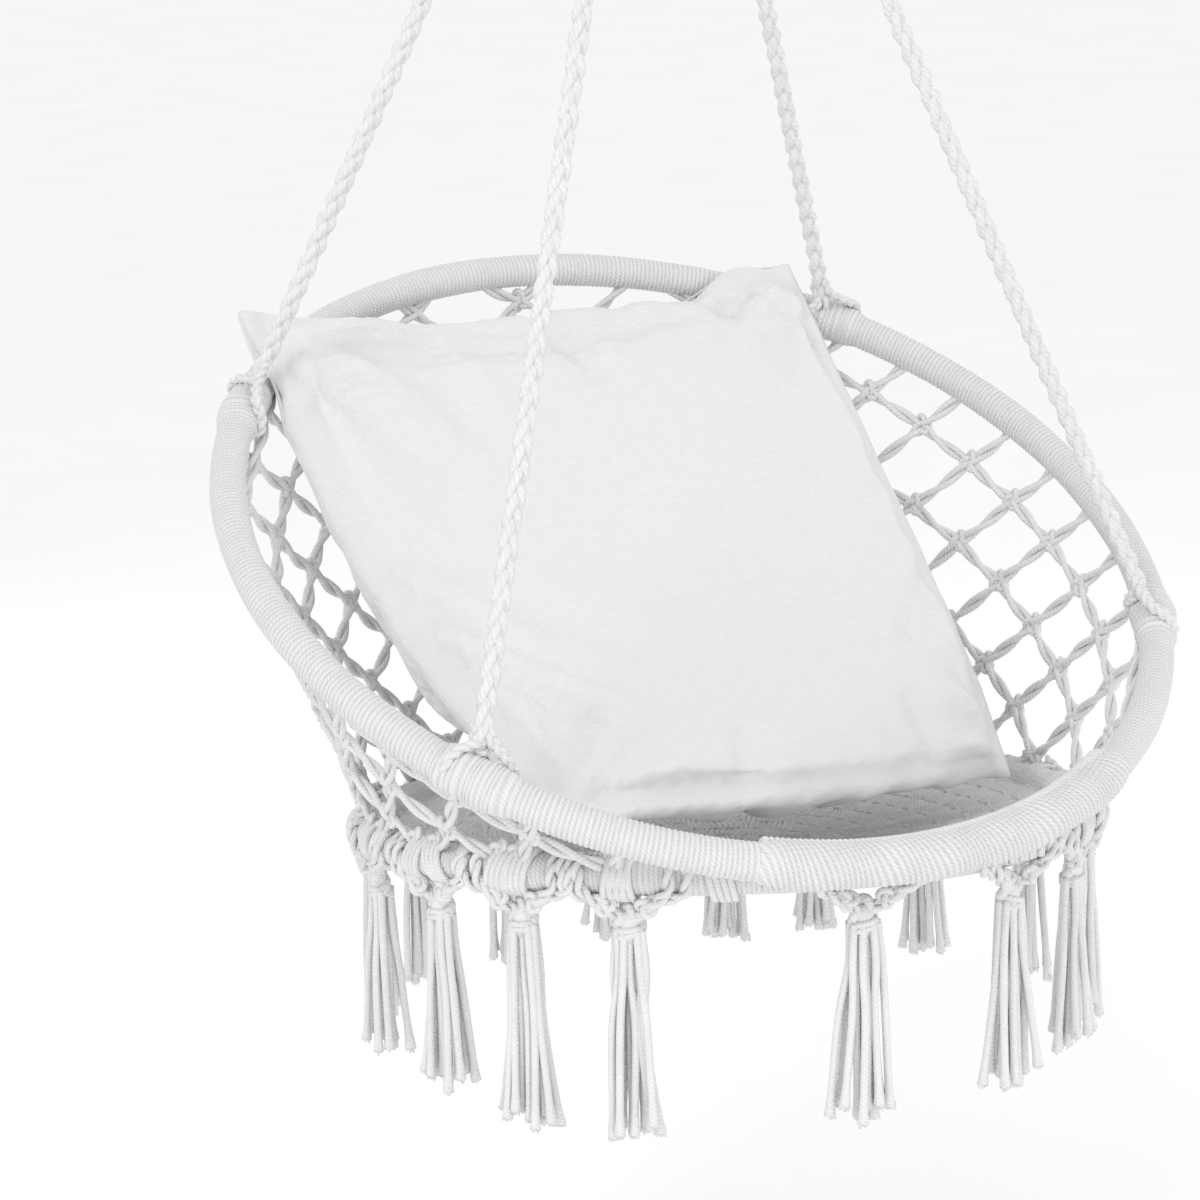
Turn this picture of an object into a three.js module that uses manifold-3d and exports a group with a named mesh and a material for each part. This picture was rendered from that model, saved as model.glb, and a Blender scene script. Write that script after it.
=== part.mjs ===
// A macrame hammock chair that hangs from a ceiling plate, in millimetres with +Z up.
// The origin is the middle of the ceiling plate's flat top face. The chair faces -Y.
import * as THREE from 'three';
import { mergeVertices } from 'three/addons/utils/BufferGeometryUtils.js';
import Module from 'manifold-3d';

const wasm = await Module();
wasm.setup();

// Gaps shared by all the pieces
const seat_gap = 0.3;
const cut_overrun = 5;

// Ceiling plate and its eye
const plate_radius = 44;
const plate_thickness = 2.5;
const dome_mouth_radius = 28.5;
const dome_floor_radius = 24.6;
const dome_depth = 9;
const plate_hole_radius = 4.6;
const plate_hole_circle = 36.4;
const plate_sides = 24;
const hole_sides = 8;
const eye_bar_radius = 4;
const eye_leg_offset = 18.6;
const eye_corner_radius = 7;
const eye_straight = 15;
const eye_head_radius = 5.6;
const eye_head_height = 3;

// Lag screws
const screw_count = 4;
const screw_length = 75;
const screw_shank_radius = 3.9;
const screw_point_length = 9;
const screw_point_radius = 0.6;
const screw_head_height = 5.3;
const screw_head_across_flats = 13;

// Chain: four runs between two links over the eye and three links on the carabiner.
// The run tables give the places of the lowest joints of an end run and of a middle run.
const link_wire = 3.2;
const link_inner_length = 22.4;
const link_inner_width = 7;
const link_corner = 4;
const links_in_run = 15;
const link_bite = 0.2;
const saddle_side = 7;
const saddle_rise = 1;
const end_run_drop = 5.1;
const end_run_places = [[-9, 1.7], [-9, -5.4], [-9, -9], [-9, -9.5], [-8, -10], [-7.6, -10.2]];
const middle_run_places = [[0, 0], [0, 1.8], [-1.8, 5.2], [-5.2, 5.6], [-7.2, 6], [-7.2, 6.6]];

// Carabiner
const carabiner_length = 80;
const carabiner_wire_radius = 2.75;
const carabiner_wide_radius = 15.5;
const carabiner_narrow_radius = 9.8;
const nose_share = 0.14;
const pivot_share = 0.86;
const tongue_thickness = 2;
const tongue_width = 4;
const nose_tongue_length = 3.5;
const pivot_tongue_length = 7;
const slot_clearance = 0.3;
const gate_nose_gap = 0.5;
const gate_pivot_gap = 1.3;
const gate_pin_radius = 0.9;
const gate_pin_clearance = 0.08;
const gate_pin_head_radius = 1.6;
const gate_pin_head_height = 0.5;

// Crown: the ring, the folded rope ends and the cord bound round them
const ring_radius = 25;
const ring_wire_radius = 3;
const fold_radius = 9;
const fold_leg = 18;
const neck_radius = 19;
const neck_shoulder = 14;
const neck_length = 40;
const neck_foot_radius = 17;
const crown_cord_radius = 2.6;
const crown_cord_clearance = 1;
const crown_cord_pitch = 6.2;
const crown_loops = 4;
const crown_cord_sides = 5;

// Ropes
const rope_radius = 8;
const rope_spacing = 17;
const rope_gather = 86;
const rope_straight = 12;
const rope_bend = 100;
const rope_sides = 8;
const rope_steps = 13;
const rope_angles = [
  ['front_left', -57.4],
  ['front_right', 57.4],
  ['back_left', -129.8],
  ['back_right', 129.8],
];

// Hoops. Angles on both start at the chair's front and grow towards +X.
const back_hoop_radius = 390;
const seat_hoop_radius = 296;
const hoop_tube_radius = 9;
const hoop_tube_bore = 8;
const tube_sides = 4;
const wrap_radius = 15;
const wrap_clearance = 1.8;
const seat_tilt = 9;
const seat_roll = 6;
const back_tilt = 26;
const hoops_apart_forward = 30.5;
const hoops_apart_up = 19;
const apex_above_seat = 1068;
const apex_behind_seat = 46;
const seat_wrap_angles = [12, 108, 188, 277];
const wrap_sides = 6;
const hoop_steps = 36;
const chord_slack = 1.6;

// Rope bindings round the back hoop
const band_width = 13.2;
const band_thickness = 4.4;
const band_clearance = 1.9;
const band_pitch = 15;
const band_loops = 3;
const loop_steps = 12;

// Net
const net_columns = 33;
const net_start_angle = 29.5;
const net_row_height = 54;
const strand_half_thickness = 3.6;
const knot_half_width = 4.3;
const knot_half_height = 6.6;
const knot_clearance = 1;
const last_row_share = 0.45;
const net_panels = 6;

// Front panel and seat mat
const panel_half_angle = 23;
const panel_thickness = 4;
const panel_clearance = 1.7;
const panel_steps = 10;
const panel_arc_steps = 6;
const panel_wrap_angle = 215;
const mat_sag = 34;
const mat_thickness = 9;
const mat_rings = 2;

// Tassels
const tassel_angles = [12, 33, 56, 82, 108, 129, 146, 167, 188, 212, 234, 255, 277, 294, 311, 345];
const tassel_length = 212;
const tassel_length_shares = [
  0.94, 0.89, 0.9, 0.88, 0.87, 0.8, 0.84, 0.8, 0.86, 0.83, 0.85, 0.87, 0.91, 1, 1, 0.96,
];
const tassel_top = 6;
const tassel_flutes = 4;
const tassel_profile = [[0, 11, 11], [0.09, 14, 14], [0.2, 10, 9], [1, 17, 11]];

// Cushion. The nine points are in the chair's frame, from its top left to its bottom right.
const cushion_points = [
  [[-262, 318, 402], [20, 322, 382], [285, 303, 408]],
  [[-300, 108, 262], [-12, 126, 150], [270, 110, 215]],
  [[-285, -175, 125], [-15, -125, 52], [278, -125, 52]],
];
const cushion_half_thickness = 66;
const cushion_edge = 5;
const cushion_fullness = 0.55;
const cushion_draw_share = 0.06;
const cushion_cells = 10;
const cushion_over_hoop = 14;
const cushion_lift = 16;
const cushion_lift_angle = 30;
const cushion_levels = [0.25, 0.5, 0.7, 0.85, 0.94, 1];

const degree = Math.PI / 180;
const up = new THREE.Vector3(0, 0, 1);

function point(x, y, z) {
  return new THREE.Vector3(x, y, z);
}

function finish(color, roughness, metalness) {
  return new THREE.MeshStandardMaterial({ color, roughness, metalness });
}

const zinc = finish(0xb9bcbe, 0.38, 0.9);
const polished = finish(0xc9c7c2, 0.22, 0.95);
const bar_steel = finish(0x8d8f90, 0.45, 0.85);
const cord_white = finish(0xf1eee8, 0.9, 0);
const cord_shade = finish(0xe6e2da, 0.92, 0);
const cloth = finish(0xe2e1de, 0.95, 0);

// Turns the faces round where they point inwards
function facing_out(positions, faces) {
  let volume = 0;
  const corner = (i) => point(positions[3 * i], positions[3 * i + 1], positions[3 * i + 2]);
  for (let i = 0; i < faces.length; i += 3) {
    volume += corner(faces[i]).dot(corner(faces[i + 1]).cross(corner(faces[i + 2])));
  }
  if (volume < 0) {
    faces.reverse();
  }
  const geometry = new THREE.BufferGeometry();
  geometry.setAttribute('position', new THREE.Float32BufferAttribute(positions, 3));
  geometry.setIndex(faces);
  geometry.computeVertexNormals();
  return geometry;
}

// Joins rings of points, each with as many points, into one body with flat ends or into a closed loop
function loft(rings, closed) {
  const sides = rings[0].length;
  const positions = rings.flat().flatMap((p) => [p.x, p.y, p.z]);
  const faces = [];
  const spans = closed ? rings.length : rings.length - 1;
  for (let i = 0; i < spans; i += 1) {
    const here = i * sides;
    const next = ((i + 1) % rings.length) * sides;
    for (let k = 0; k < sides; k += 1) {
      const other = (k + 1) % sides;
      faces.push(here + k, here + other, next + other);
      faces.push(here + k, next + other, next + k);
    }
  }
  if (!closed) {
    const last = (rings.length - 1) * sides;
    for (let k = 1; k < sides - 1; k += 1) {
      faces.push(0, k + 1, k);
      faces.push(last, last + k, last + k + 1);
    }
  }
  return facing_out(positions, faces);
}

// A circle of points round a centre, in the plane of two directions
function circle(centre, across, along, radius, sides) {
  return Array.from({ length: sides }, (_, k) => {
    const angle = (2 * Math.PI * k) / sides;
    const rim = centre.clone().addScaledVector(across, radius * Math.cos(angle));
    return rim.addScaledVector(along, radius * Math.sin(angle));
  });
}

// A round bar from one point to another, which may taper
function bar(from, to, start_radius, end_radius, sides) {
  const way = to.clone().sub(from).normalize();
  const helper = Math.abs(way.dot(up)) > Math.SQRT1_2 ? point(1, 0, 0) : up;
  const across = helper.clone().cross(way).normalize();
  const along = way.clone().cross(across);
  const ends = [
    circle(from, across, along, start_radius, sides),
    circle(to, across, along, end_radius, sides),
  ];
  return loft(ends, false);
}

// A round bar bent along points that lie in one plane
function bent_bar(points, flat, radius, sides) {
  const rings = points.map((here, i) => {
    const before = points[Math.max(i - 1, 0)];
    const after = points[Math.min(i + 1, points.length - 1)];
    const way = after.clone().sub(before).normalize();
    return circle(here, flat, way.clone().cross(flat).normalize(), radius, sides);
  });
  return loft(rings, false);
}

// A box with its middle at a point, its sides along three directions
function block(centre, directions, sizes) {
  const corners = [-1, 1].map((end) =>
    [[-1, -1], [1, -1], [1, 1], [-1, 1]].map(([a, b]) =>
      centre
        .clone()
        .addScaledVector(directions[0], (a * sizes[0]) / 2)
        .addScaledVector(directions[1], (b * sizes[1]) / 2)
        .addScaledVector(directions[2], (end * sizes[2]) / 2),
    ),
  );
  return loft(corners, false);
}

// A solid that manifold-3d can join and cut
function solid_of(geometry) {
  const bare = new THREE.BufferGeometry();
  bare.setAttribute('position', geometry.getAttribute('position'));
  if (geometry.index) {
    bare.setIndex(geometry.index);
  }
  const merged = mergeVertices(bare);
  return new wasm.Manifold(
    new wasm.Mesh({
      numProp: 3,
      vertProperties: merged.attributes.position.array,
      triVerts: new Uint32Array(merged.index.array),
    }),
  );
}

function geometry_of(solid) {
  const mesh = solid.getMesh();
  const geometry = new THREE.BufferGeometry();
  geometry.setAttribute('position', new THREE.BufferAttribute(mesh.vertProperties, mesh.numProp));
  geometry.setIndex(new THREE.BufferAttribute(mesh.triVerts, 1));
  return geometry;
}

function joined(geometries) {
  return geometries.map(solid_of).reduce((whole, piece) => whole.add(piece));
}

function without(solid, cutters) {
  return cutters.map(solid_of).reduce((rest, cutter) => rest.subtract(cutter), solid);
}

// Prints the least gap between parts of one winding that lie over half a loop apart
function print_least_gap(name, rings, steps_in_loop) {
  let least = Infinity;
  for (let i = 0; i < rings.length; i += 1) {
    for (let j = i + Math.ceil(steps_in_loop / 2); j < rings.length; j += 1) {
      for (const p of rings[i]) {
        for (const q of rings[j]) {
          least = Math.min(least, p.distanceTo(q));
        }
      }
    }
  }
  console.log(`${name}: least gap to itself ${least.toFixed(2)} mm`);
}

const root = new THREE.Group();
const chair = new THREE.Group();
root.add(chair);

function add(group, name, geometry, material) {
  const mesh = new THREE.Mesh(geometry, material);
  mesh.name = name;
  group.add(mesh);
  return mesh;
}

// Heights from the ceiling down to the chair
const plate_rim_z = -plate_thickness;
const dome_floor_z = -dome_depth;
const dome_under_z = -dome_depth - plate_thickness;
const eye_corner_z = dome_under_z - eye_straight;
const eye_bar_z = eye_corner_z - eye_corner_radius;
const saddle_over_bar = eye_bar_radius + seat_gap + saddle_rise + link_wire / 2;
const saddle_tip = (link_inner_length + link_wire) / 2;
const saddle_lean = Math.asin(end_run_drop / (2 * saddle_tip));
const run_top_z = eye_bar_z + saddle_over_bar + end_run_drop / 2 + link_wire / 2;
const link_pitch = link_inner_length + link_bite;
const run_foot_z = run_top_z - links_in_run * link_pitch;
const wide_top_z = run_foot_z + seat_gap + carabiner_wire_radius;
const wide_centre_z = wide_top_z - carabiner_wide_radius;
const centres_apart =
  carabiner_length - 2 * carabiner_wire_radius - carabiner_wide_radius - carabiner_narrow_radius;
const narrow_centre_z = wide_centre_z - centres_apart;
const carabiner_foot_z = narrow_centre_z - carabiner_narrow_radius;
const ring_top_z = carabiner_foot_z + carabiner_wire_radius + seat_gap + ring_wire_radius;
const ring_foot_z = ring_top_z - 2 * ring_radius;
const fold_arc_radius = ring_wire_radius + seat_gap + fold_radius;
const neck_top_z = ring_foot_z - fold_leg;
const neck_foot_z = neck_top_z - neck_shoulder - neck_length;
const seat_z = neck_foot_z + rope_gather - apex_above_seat;

// Ceiling plate
function ceiling_plate() {
  const outline = [
    [0, dome_floor_z],
    [dome_floor_radius, dome_floor_z],
    [dome_mouth_radius, 0],
    [plate_radius, 0],
    [plate_radius, plate_rim_z],
    [dome_mouth_radius + plate_thickness / 2, plate_rim_z],
    [dome_floor_radius + plate_thickness / 2, dome_under_z],
    [0, dome_under_z],
  ];
  const disc = new THREE.LatheGeometry(
    outline.map(([r, z]) => new THREE.Vector2(r, z)).reverse(),
    plate_sides,
  ).rotateX(Math.PI / 2);
  const holes = screw_places().map(([x, y]) =>
    bar(
      point(x, y, plate_rim_z - cut_overrun),
      point(x, y, cut_overrun),
      plate_hole_radius,
      plate_hole_radius,
      hole_sides,
    ),
  );
  const eye_holes = [-1, 1].map((side) =>
    bar(
      point(side * eye_leg_offset, 0, dome_under_z - cut_overrun),
      point(side * eye_leg_offset, 0, dome_floor_z + cut_overrun),
      eye_bar_radius + seat_gap,
      eye_bar_radius + seat_gap,
      hole_sides,
    ),
  );
  return geometry_of(without(solid_of(facing_out_lathe(disc)), [...holes, ...eye_holes]));
}

function facing_out_lathe(geometry) {
  const merged = mergeVertices(stripped(geometry));
  return facing_out([...merged.attributes.position.array], [...merged.index.array]);
}

function stripped(geometry) {
  const bare = new THREE.BufferGeometry();
  bare.setAttribute('position', geometry.getAttribute('position'));
  bare.setIndex(geometry.index);
  return bare;
}

function screw_places() {
  return Array.from({ length: screw_count }, (_, i) => {
    const angle = ((i + 1 / 2) * 2 * Math.PI) / screw_count;
    return [plate_hole_circle * Math.cos(angle), plate_hole_circle * Math.sin(angle)];
  });
}

// Points on an arc in the XZ plane
function upright_arc(x, z, radius, from, to, steps) {
  return Array.from({ length: steps + 1 }, (_, i) => {
    const angle = from + ((to - from) * i) / steps;
    return point(x + radius * Math.cos(angle), 0, z + radius * Math.sin(angle));
  });
}

// Closed eye: two legs with upset heads inside the dome, and a flat-bottomed bow under it
function plate_eye() {
  const leg_top = dome_floor_z + seat_gap + eye_head_height;
  const corner_x = eye_leg_offset - eye_corner_radius;
  const corner = (side) => {
    const start = side < 0 ? Math.PI : 1.5 * Math.PI;
    const end = side < 0 ? 1.5 * Math.PI : 2 * Math.PI;
    return upright_arc(side * corner_x, eye_corner_z, eye_corner_radius, start, end, 4);
  };
  const path = [
    point(-eye_leg_offset, 0, leg_top),
    ...corner(-1),
    ...corner(1),
    point(eye_leg_offset, 0, leg_top),
  ];
  const bow = bent_bar(path, point(0, 1, 0), eye_bar_radius, hole_sides);
  const heads = [-1, 1].map((side) =>
    bar(
      point(side * eye_leg_offset, 0, dome_floor_z + seat_gap),
      point(side * eye_leg_offset, 0, leg_top),
      eye_head_radius,
      eye_bar_radius,
      hole_sides,
    ),
  );
  return geometry_of(joined([bow, ...heads]));
}

// Lag screw: hexagon head under the plate, plain round shank, pointed end up in the ceiling
function lag_screw() {
  const head_top = plate_rim_z - seat_gap;
  const head_radius = screw_head_across_flats / Math.sqrt(3);
  const head = bar(
    point(0, 0, head_top - screw_head_height),
    point(0, 0, head_top),
    head_radius,
    head_radius,
    6,
  );
  const point_z = head_top + screw_length - screw_point_length;
  const shank = bar(
    point(0, 0, head_top - screw_head_height / 2),
    point(0, 0, point_z),
    screw_shank_radius,
    screw_shank_radius,
    hole_sides,
  );
  const tip = bar(
    point(0, 0, point_z - seat_gap),
    point(0, 0, head_top + screw_length),
    screw_shank_radius,
    screw_point_radius,
    hole_sides,
  );
  return geometry_of(joined([head, shank, tip]));
}

// One chain link, flat in the plane of across and along, with its corners cut off
function chain_link(centre, across, along) {
  const link_half_width = link_inner_width / 2 + link_wire;
  const through = across.clone().cross(along).normalize();
  const frame = (half_width, half_length, corner) => [
    [half_width, half_length - corner],
    [half_width - corner, half_length],
    [corner - half_width, half_length],
    [-half_width, half_length - corner],
    [-half_width, corner - half_length],
    [corner - half_width, -half_length],
    [half_width - corner, -half_length],
    [half_width, corner - half_length],
  ];
  const inner_corner = link_corner - link_wire * (2 - Math.SQRT2);
  const outer = frame(link_half_width, link_inner_length / 2 + link_wire, link_corner);
  const inner = frame(link_inner_width / 2, link_inner_length / 2, inner_corner);
  const rings = outer.map(([a, b], i) => {
    const [c, d] = inner[i];
    const [e, f] = [(a + c) / 2, (b + d) / 2];
    return [[a, b, 0], [e, f, 1], [c, d, 0], [e, f, -1]].map(([x, y, side]) =>
      centre
        .clone()
        .addScaledVector(across, x)
        .addScaledVector(along, y)
        .addScaledVector(through, (side * link_wire) / 2),
    );
  });
  return loft(rings, true);
}

// Where the joints of one run are, from the carabiner up to the end of the link over the eye
function run_joints(places, top, drop) {
  const fanned = places.length - 1;
  return Array.from({ length: links_in_run + 1 }, (_, i) => {
    const share = Math.max(0, (i - fanned) / (links_in_run - fanned));
    const [x, y] = places[Math.min(i, fanned)];
    const z = run_foot_z + i * link_pitch - drop;
    return point(x + (top.x - x) * share, y + (top.y - y) * share, z);
  });
}

// The runs on one side of the eye: an end run and a middle run, joined by the link over its bar
function run_pair(half_turn) {
  const turn = new THREE.Matrix4().makeRotationZ(half_turn * Math.PI);
  const along = point(0, Math.cos(saddle_lean), Math.sin(saddle_lean));
  const rise = point(0, -Math.sin(saddle_lean), Math.cos(saddle_lean));
  const middle = point(-saddle_side, 0, eye_bar_z).addScaledVector(rise, saddle_over_bar);
  const links = [chain_link(middle, point(1, 0, 0), along)];
  const runs = [
    run_joints(end_run_places, middle.clone().addScaledVector(along, -saddle_tip), end_run_drop),
    run_joints(middle_run_places, middle.clone().addScaledVector(along, saddle_tip), 0),
  ];
  runs.forEach((joints, run) => {
    for (let i = half_turn * run; i < links_in_run; i += 1) {
      const way = joints[i + 1].clone().sub(joints[i]).normalize();
      const hint = i % 2 === 0 ? point(0, 1, 0) : point(1, 0, 0);
      const through = hint.clone().cross(way).normalize();
      const middle_of_link = joints[i].clone().addScaledVector(way, link_inner_length / 2);
      links.push(chain_link(middle_of_link, way.clone().cross(through), way));
    }
  });
  return links.map((link) => link.applyMatrix4(turn));
}

// The chain hangs over the eye by two links, and holds the carabiner by its ends and its middle
function chain() {
  return geometry_of(joined([...run_pair(0), ...run_pair(1)]));
}

// Carabiner, in the XZ plane: the limb on the +X side is the gate
const limb_lean = Math.asin((carabiner_wide_radius - carabiner_narrow_radius) / centres_apart);
const limb_normal = point(Math.cos(limb_lean), 0, -Math.sin(limb_lean));
const limb_top = point(0, 0, wide_centre_z).addScaledVector(limb_normal, carabiner_wide_radius);
const limb_foot = point(0, 0, narrow_centre_z).addScaledVector(
  limb_normal,
  carabiner_narrow_radius,
);
const limb_way = limb_foot.clone().sub(limb_top).normalize();
const limb_length = limb_foot.distanceTo(limb_top);
const side_way = point(0, 1, 0);

function on_limb(distance) {
  return limb_top.clone().addScaledVector(limb_way, distance);
}

const nose_at = nose_share * limb_length;
const pivot_end_at = pivot_share * limb_length;
const pin_at = pivot_end_at - pivot_tongue_length / 2;

function carabiner_body() {
  const left = Math.PI + limb_lean;
  const narrow = upright_arc(
    0,
    narrow_centre_z,
    carabiner_narrow_radius,
    -limb_lean,
    left - 2 * Math.PI,
    10,
  );
  const wide = upright_arc(0, wide_centre_z, carabiner_wide_radius, left, -limb_lean, 14);
  const path = [on_limb(pivot_end_at), ...narrow, ...wide, on_limb(nose_at)];
  const frame = bent_bar(path, side_way, carabiner_wire_radius, wrap_sides);
  const tongue = (from, to) =>
    block(
      on_limb((from + to) / 2),
      [side_way, limb_normal, limb_way],
      [tongue_thickness, tongue_width, Math.abs(to - from)],
    );
  const nose = tongue(nose_at - tongue_width / 2, nose_at + nose_tongue_length);
  const heel = tongue(pivot_end_at + tongue_width / 2, pivot_end_at - pivot_tongue_length);
  const bore = pin_bar(gate_pin_radius + gate_pin_clearance, tongue_thickness + cut_overrun);
  return geometry_of(without(joined([frame, nose, heel]), [bore]));
}

function pin_bar(radius, length) {
  const middle = on_limb(pin_at);
  return bar(
    middle.clone().addScaledVector(side_way, -length / 2),
    middle.clone().addScaledVector(side_way, length / 2),
    radius,
    radius,
    hole_sides,
  );
}

// Gate: a round bar slotted at both ends, over the body's two tongues
function carabiner_gate() {
  const top = nose_at + gate_nose_gap;
  const foot = pivot_end_at - gate_pivot_gap;
  const rod = bar(
    on_limb(top),
    on_limb(foot),
    carabiner_wire_radius,
    carabiner_wire_radius,
    wrap_sides,
  );
  const slot = (from, to) =>
    block(
      on_limb((from + to) / 2),
      [side_way, limb_normal, limb_way],
      [tongue_thickness + 2 * slot_clearance, 4 * carabiner_wire_radius, Math.abs(to - from)],
    );
  const nose_slot = slot(top - cut_overrun, nose_at + nose_tongue_length + gate_nose_gap);
  const heel_slot = slot(
    pivot_end_at - pivot_tongue_length - gate_pivot_gap,
    foot + cut_overrun,
  );
  const bore = pin_bar(gate_pin_radius + gate_pin_clearance, 4 * carabiner_wire_radius);
  return geometry_of(without(solid_of(rod), [nose_slot, heel_slot, bore]));
}

// Rivet that the gate turns on, with a low head on each side
function gate_pin() {
  const reach = 2 * (carabiner_wire_radius + gate_pin_clearance);
  const shank = pin_bar(gate_pin_radius, reach + 2 * gate_pin_head_height);
  const middle = on_limb(pin_at);
  const heads = [-1, 1].map((side) =>
    bar(
      middle.clone().addScaledVector(side_way, (side * reach) / 2),
      middle.clone().addScaledVector(side_way, side * (reach / 2 + gate_pin_head_height)),
      gate_pin_head_radius,
      gate_pin_radius,
      hole_sides,
    ),
  );
  return geometry_of(joined([shank, ...heads]));
}

// Rope crown: the rope ends folded over the ring's wire, then one round neck
function rope_crown() {
  const steps = 8;
  const fold = Array.from({ length: steps + 1 }, (_, i) => {
    const angle = (Math.PI * i) / steps;
    const x = fold_arc_radius * Math.cos(angle);
    return point(x, 0, ring_foot_z + fold_arc_radius * Math.sin(angle));
  });
  const leg_z = neck_top_z - neck_shoulder;
  const path = [
    point(fold_arc_radius, 0, leg_z),
    ...fold,
    point(-fold_arc_radius, 0, leg_z),
  ];
  const loop = bent_bar(path, point(0, 1, 0), fold_radius, rope_sides);
  const neck_rings = [
    [neck_top_z, fold_radius],
    [neck_top_z - neck_shoulder, neck_radius],
    [neck_foot_z + neck_shoulder, neck_radius],
    [neck_foot_z, neck_foot_radius],
  ].map(([z, r]) => circle(point(0, 0, z), point(1, 0, 0), point(0, 1, 0), r, plate_sides / 2));
  return geometry_of(joined([loop, loft(neck_rings, false)]));
}

// Cord wound round the neck in one unbroken run
function crown_binding() {
  const radius = neck_radius + crown_cord_clearance + crown_cord_radius;
  const top = neck_top_z - neck_shoulder - crown_cord_radius;
  const count = crown_loops * loop_steps;
  const rings = Array.from({ length: count + 1 }, (_, i) => {
    const angle = (2 * Math.PI * i) / loop_steps;
    const out = point(Math.cos(angle), Math.sin(angle), 0);
    const centre = out.clone().multiplyScalar(radius);
    centre.z = top - (crown_cord_pitch * i) / loop_steps;
    return circle(centre, out, up, crown_cord_radius, crown_cord_sides);
  });
  print_least_gap('crown_binding', rings, loop_steps);
  return loft(rings, false);
}

// Where the hoops are, in the chair's frame, whose origin is the seat hoop's middle
const seat_frame = new THREE.Matrix4()
  .makeRotationY(seat_roll * degree)
  .multiply(new THREE.Matrix4().makeRotationX(-seat_tilt * degree));
const front_of_seat = point(
  0,
  -seat_hoop_radius * Math.cos(seat_tilt * degree),
  seat_hoop_radius * Math.sin(seat_tilt * degree),
);
const back_middle = point(
  0,
  front_of_seat.y - hoops_apart_forward + back_hoop_radius * Math.cos(back_tilt * degree),
  front_of_seat.z + hoops_apart_up + back_hoop_radius * Math.sin(back_tilt * degree),
);
const back_frame = new THREE.Matrix4()
  .makeTranslation(back_middle)
  .multiply(new THREE.Matrix4().makeRotationX(back_tilt * degree));

// A point at an angle from the front, at a distance from a hoop's middle and a height over its plane
function on_hoop(frame, angle, radius, height) {
  const turn = angle * degree;
  return point(radius * Math.sin(turn), -radius * Math.cos(turn), height).applyMatrix4(frame);
}

function on_back(angle) {
  return on_hoop(back_frame, angle, back_hoop_radius, 0);
}

function on_seat(angle) {
  return on_hoop(seat_frame, angle, seat_hoop_radius, 0);
}

// A ring of points round a hoop's bar. Hoops turn in equal straight steps, and a ring between two
// steps lies on the straight line between them, so that all that surrounds a hoop has its shape.
function hoop_ring(hoop_radius, radius, sides, angle) {
  const step = (angle / 360) * hoop_steps;
  const at_step = (whole) => {
    const turn = (2 * Math.PI * whole) / hoop_steps;
    const out = point(Math.sin(turn), -Math.cos(turn), 0);
    return circle(out.clone().multiplyScalar(hoop_radius), out, up, radius, sides);
  };
  const before = at_step(Math.floor(step));
  const after = at_step(Math.floor(step) + 1);
  return before.map((p, i) => p.lerp(after[i], step - Math.floor(step)));
}

function hoop_rings(hoop_radius, radius, sides, from, to) {
  const angles = [from];
  const first = Math.floor((from / 360) * hoop_steps) + 1;
  for (let step = first; (step / hoop_steps) * 360 < to; step += 1) {
    angles.push((step / hoop_steps) * 360);
  }
  return [...angles, to].map((angle) => hoop_ring(hoop_radius, radius, sides, angle));
}

function full_hoop(hoop_radius, radius, sides) {
  return loft(hoop_rings(hoop_radius, radius, sides, 0, 360).slice(0, hoop_steps), true);
}

// The spaces that the wraps fill, with the gap that other pieces keep to them
const seat_room = full_hoop(seat_hoop_radius, wrap_radius + seat_gap, wrap_sides);
seat_room.applyMatrix4(seat_frame);
const back_room = full_hoop(back_hoop_radius, wrap_radius + seat_gap, wrap_sides);
back_room.applyMatrix4(back_frame);

// A sleeve between two angles of a hoop, open at both ends
function sleeve(hoop_radius, radius, bore, sides, from, to) {
  const gap_angle = seat_gap / hoop_radius / degree;
  const ends = [from + gap_angle, to - gap_angle];
  const outside = hoop_rings(hoop_radius, radius, sides, ...ends);
  const inside = hoop_rings(hoop_radius, bore, sides, ...ends);
  return loft([...outside, ...inside.reverse()], true);
}

// The steel tube inside a hoop, rolled round with its ends butted
function hoop_tube(hoop_radius) {
  return sleeve(hoop_radius, hoop_tube_radius, hoop_tube_bore, tube_sides, 0, 360);
}

// A run of cord wrapped in close turns on the tube
function wrap_run(hoop_radius, from, to) {
  const bore = hoop_tube_radius + wrap_clearance;
  return sleeve(hoop_radius, wrap_radius, bore, wrap_sides, from, to);
}

function binding_half_length() {
  return (band_loops * band_pitch + band_width) / 2;
}

// Band of cord wound over the wrap where a rope holds the back hoop
function rope_binding(name, angle) {
  const radius = wrap_radius + band_clearance + band_thickness / 2;
  const count = band_loops * loop_steps;
  const sweep = (band_loops * band_pitch) / back_hoop_radius;
  const rings = Array.from({ length: count + 1 }, (_, i) => {
    const turn = angle * degree + sweep * (i / count - 1 / 2);
    const out = point(Math.sin(turn), -Math.cos(turn), 0);
    const along = point(Math.cos(turn), Math.sin(turn), 0);
    const wind = (2 * Math.PI * i) / loop_steps + Math.PI / 2;
    const away = out.clone().multiplyScalar(Math.cos(wind)).addScaledVector(up, Math.sin(wind));
    const centre = out.clone().multiplyScalar(back_hoop_radius).addScaledVector(away, radius);
    return [[1, -1], [1, 1], [-1, 1], [-1, -1]].map(([a, b]) =>
      centre
        .clone()
        .addScaledVector(along, (a * band_width) / 2)
        .addScaledVector(away, (b * band_thickness) / 2),
    );
  });
  print_least_gap(name, rings, loop_steps);
  return loft(rings, false);
}

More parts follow.
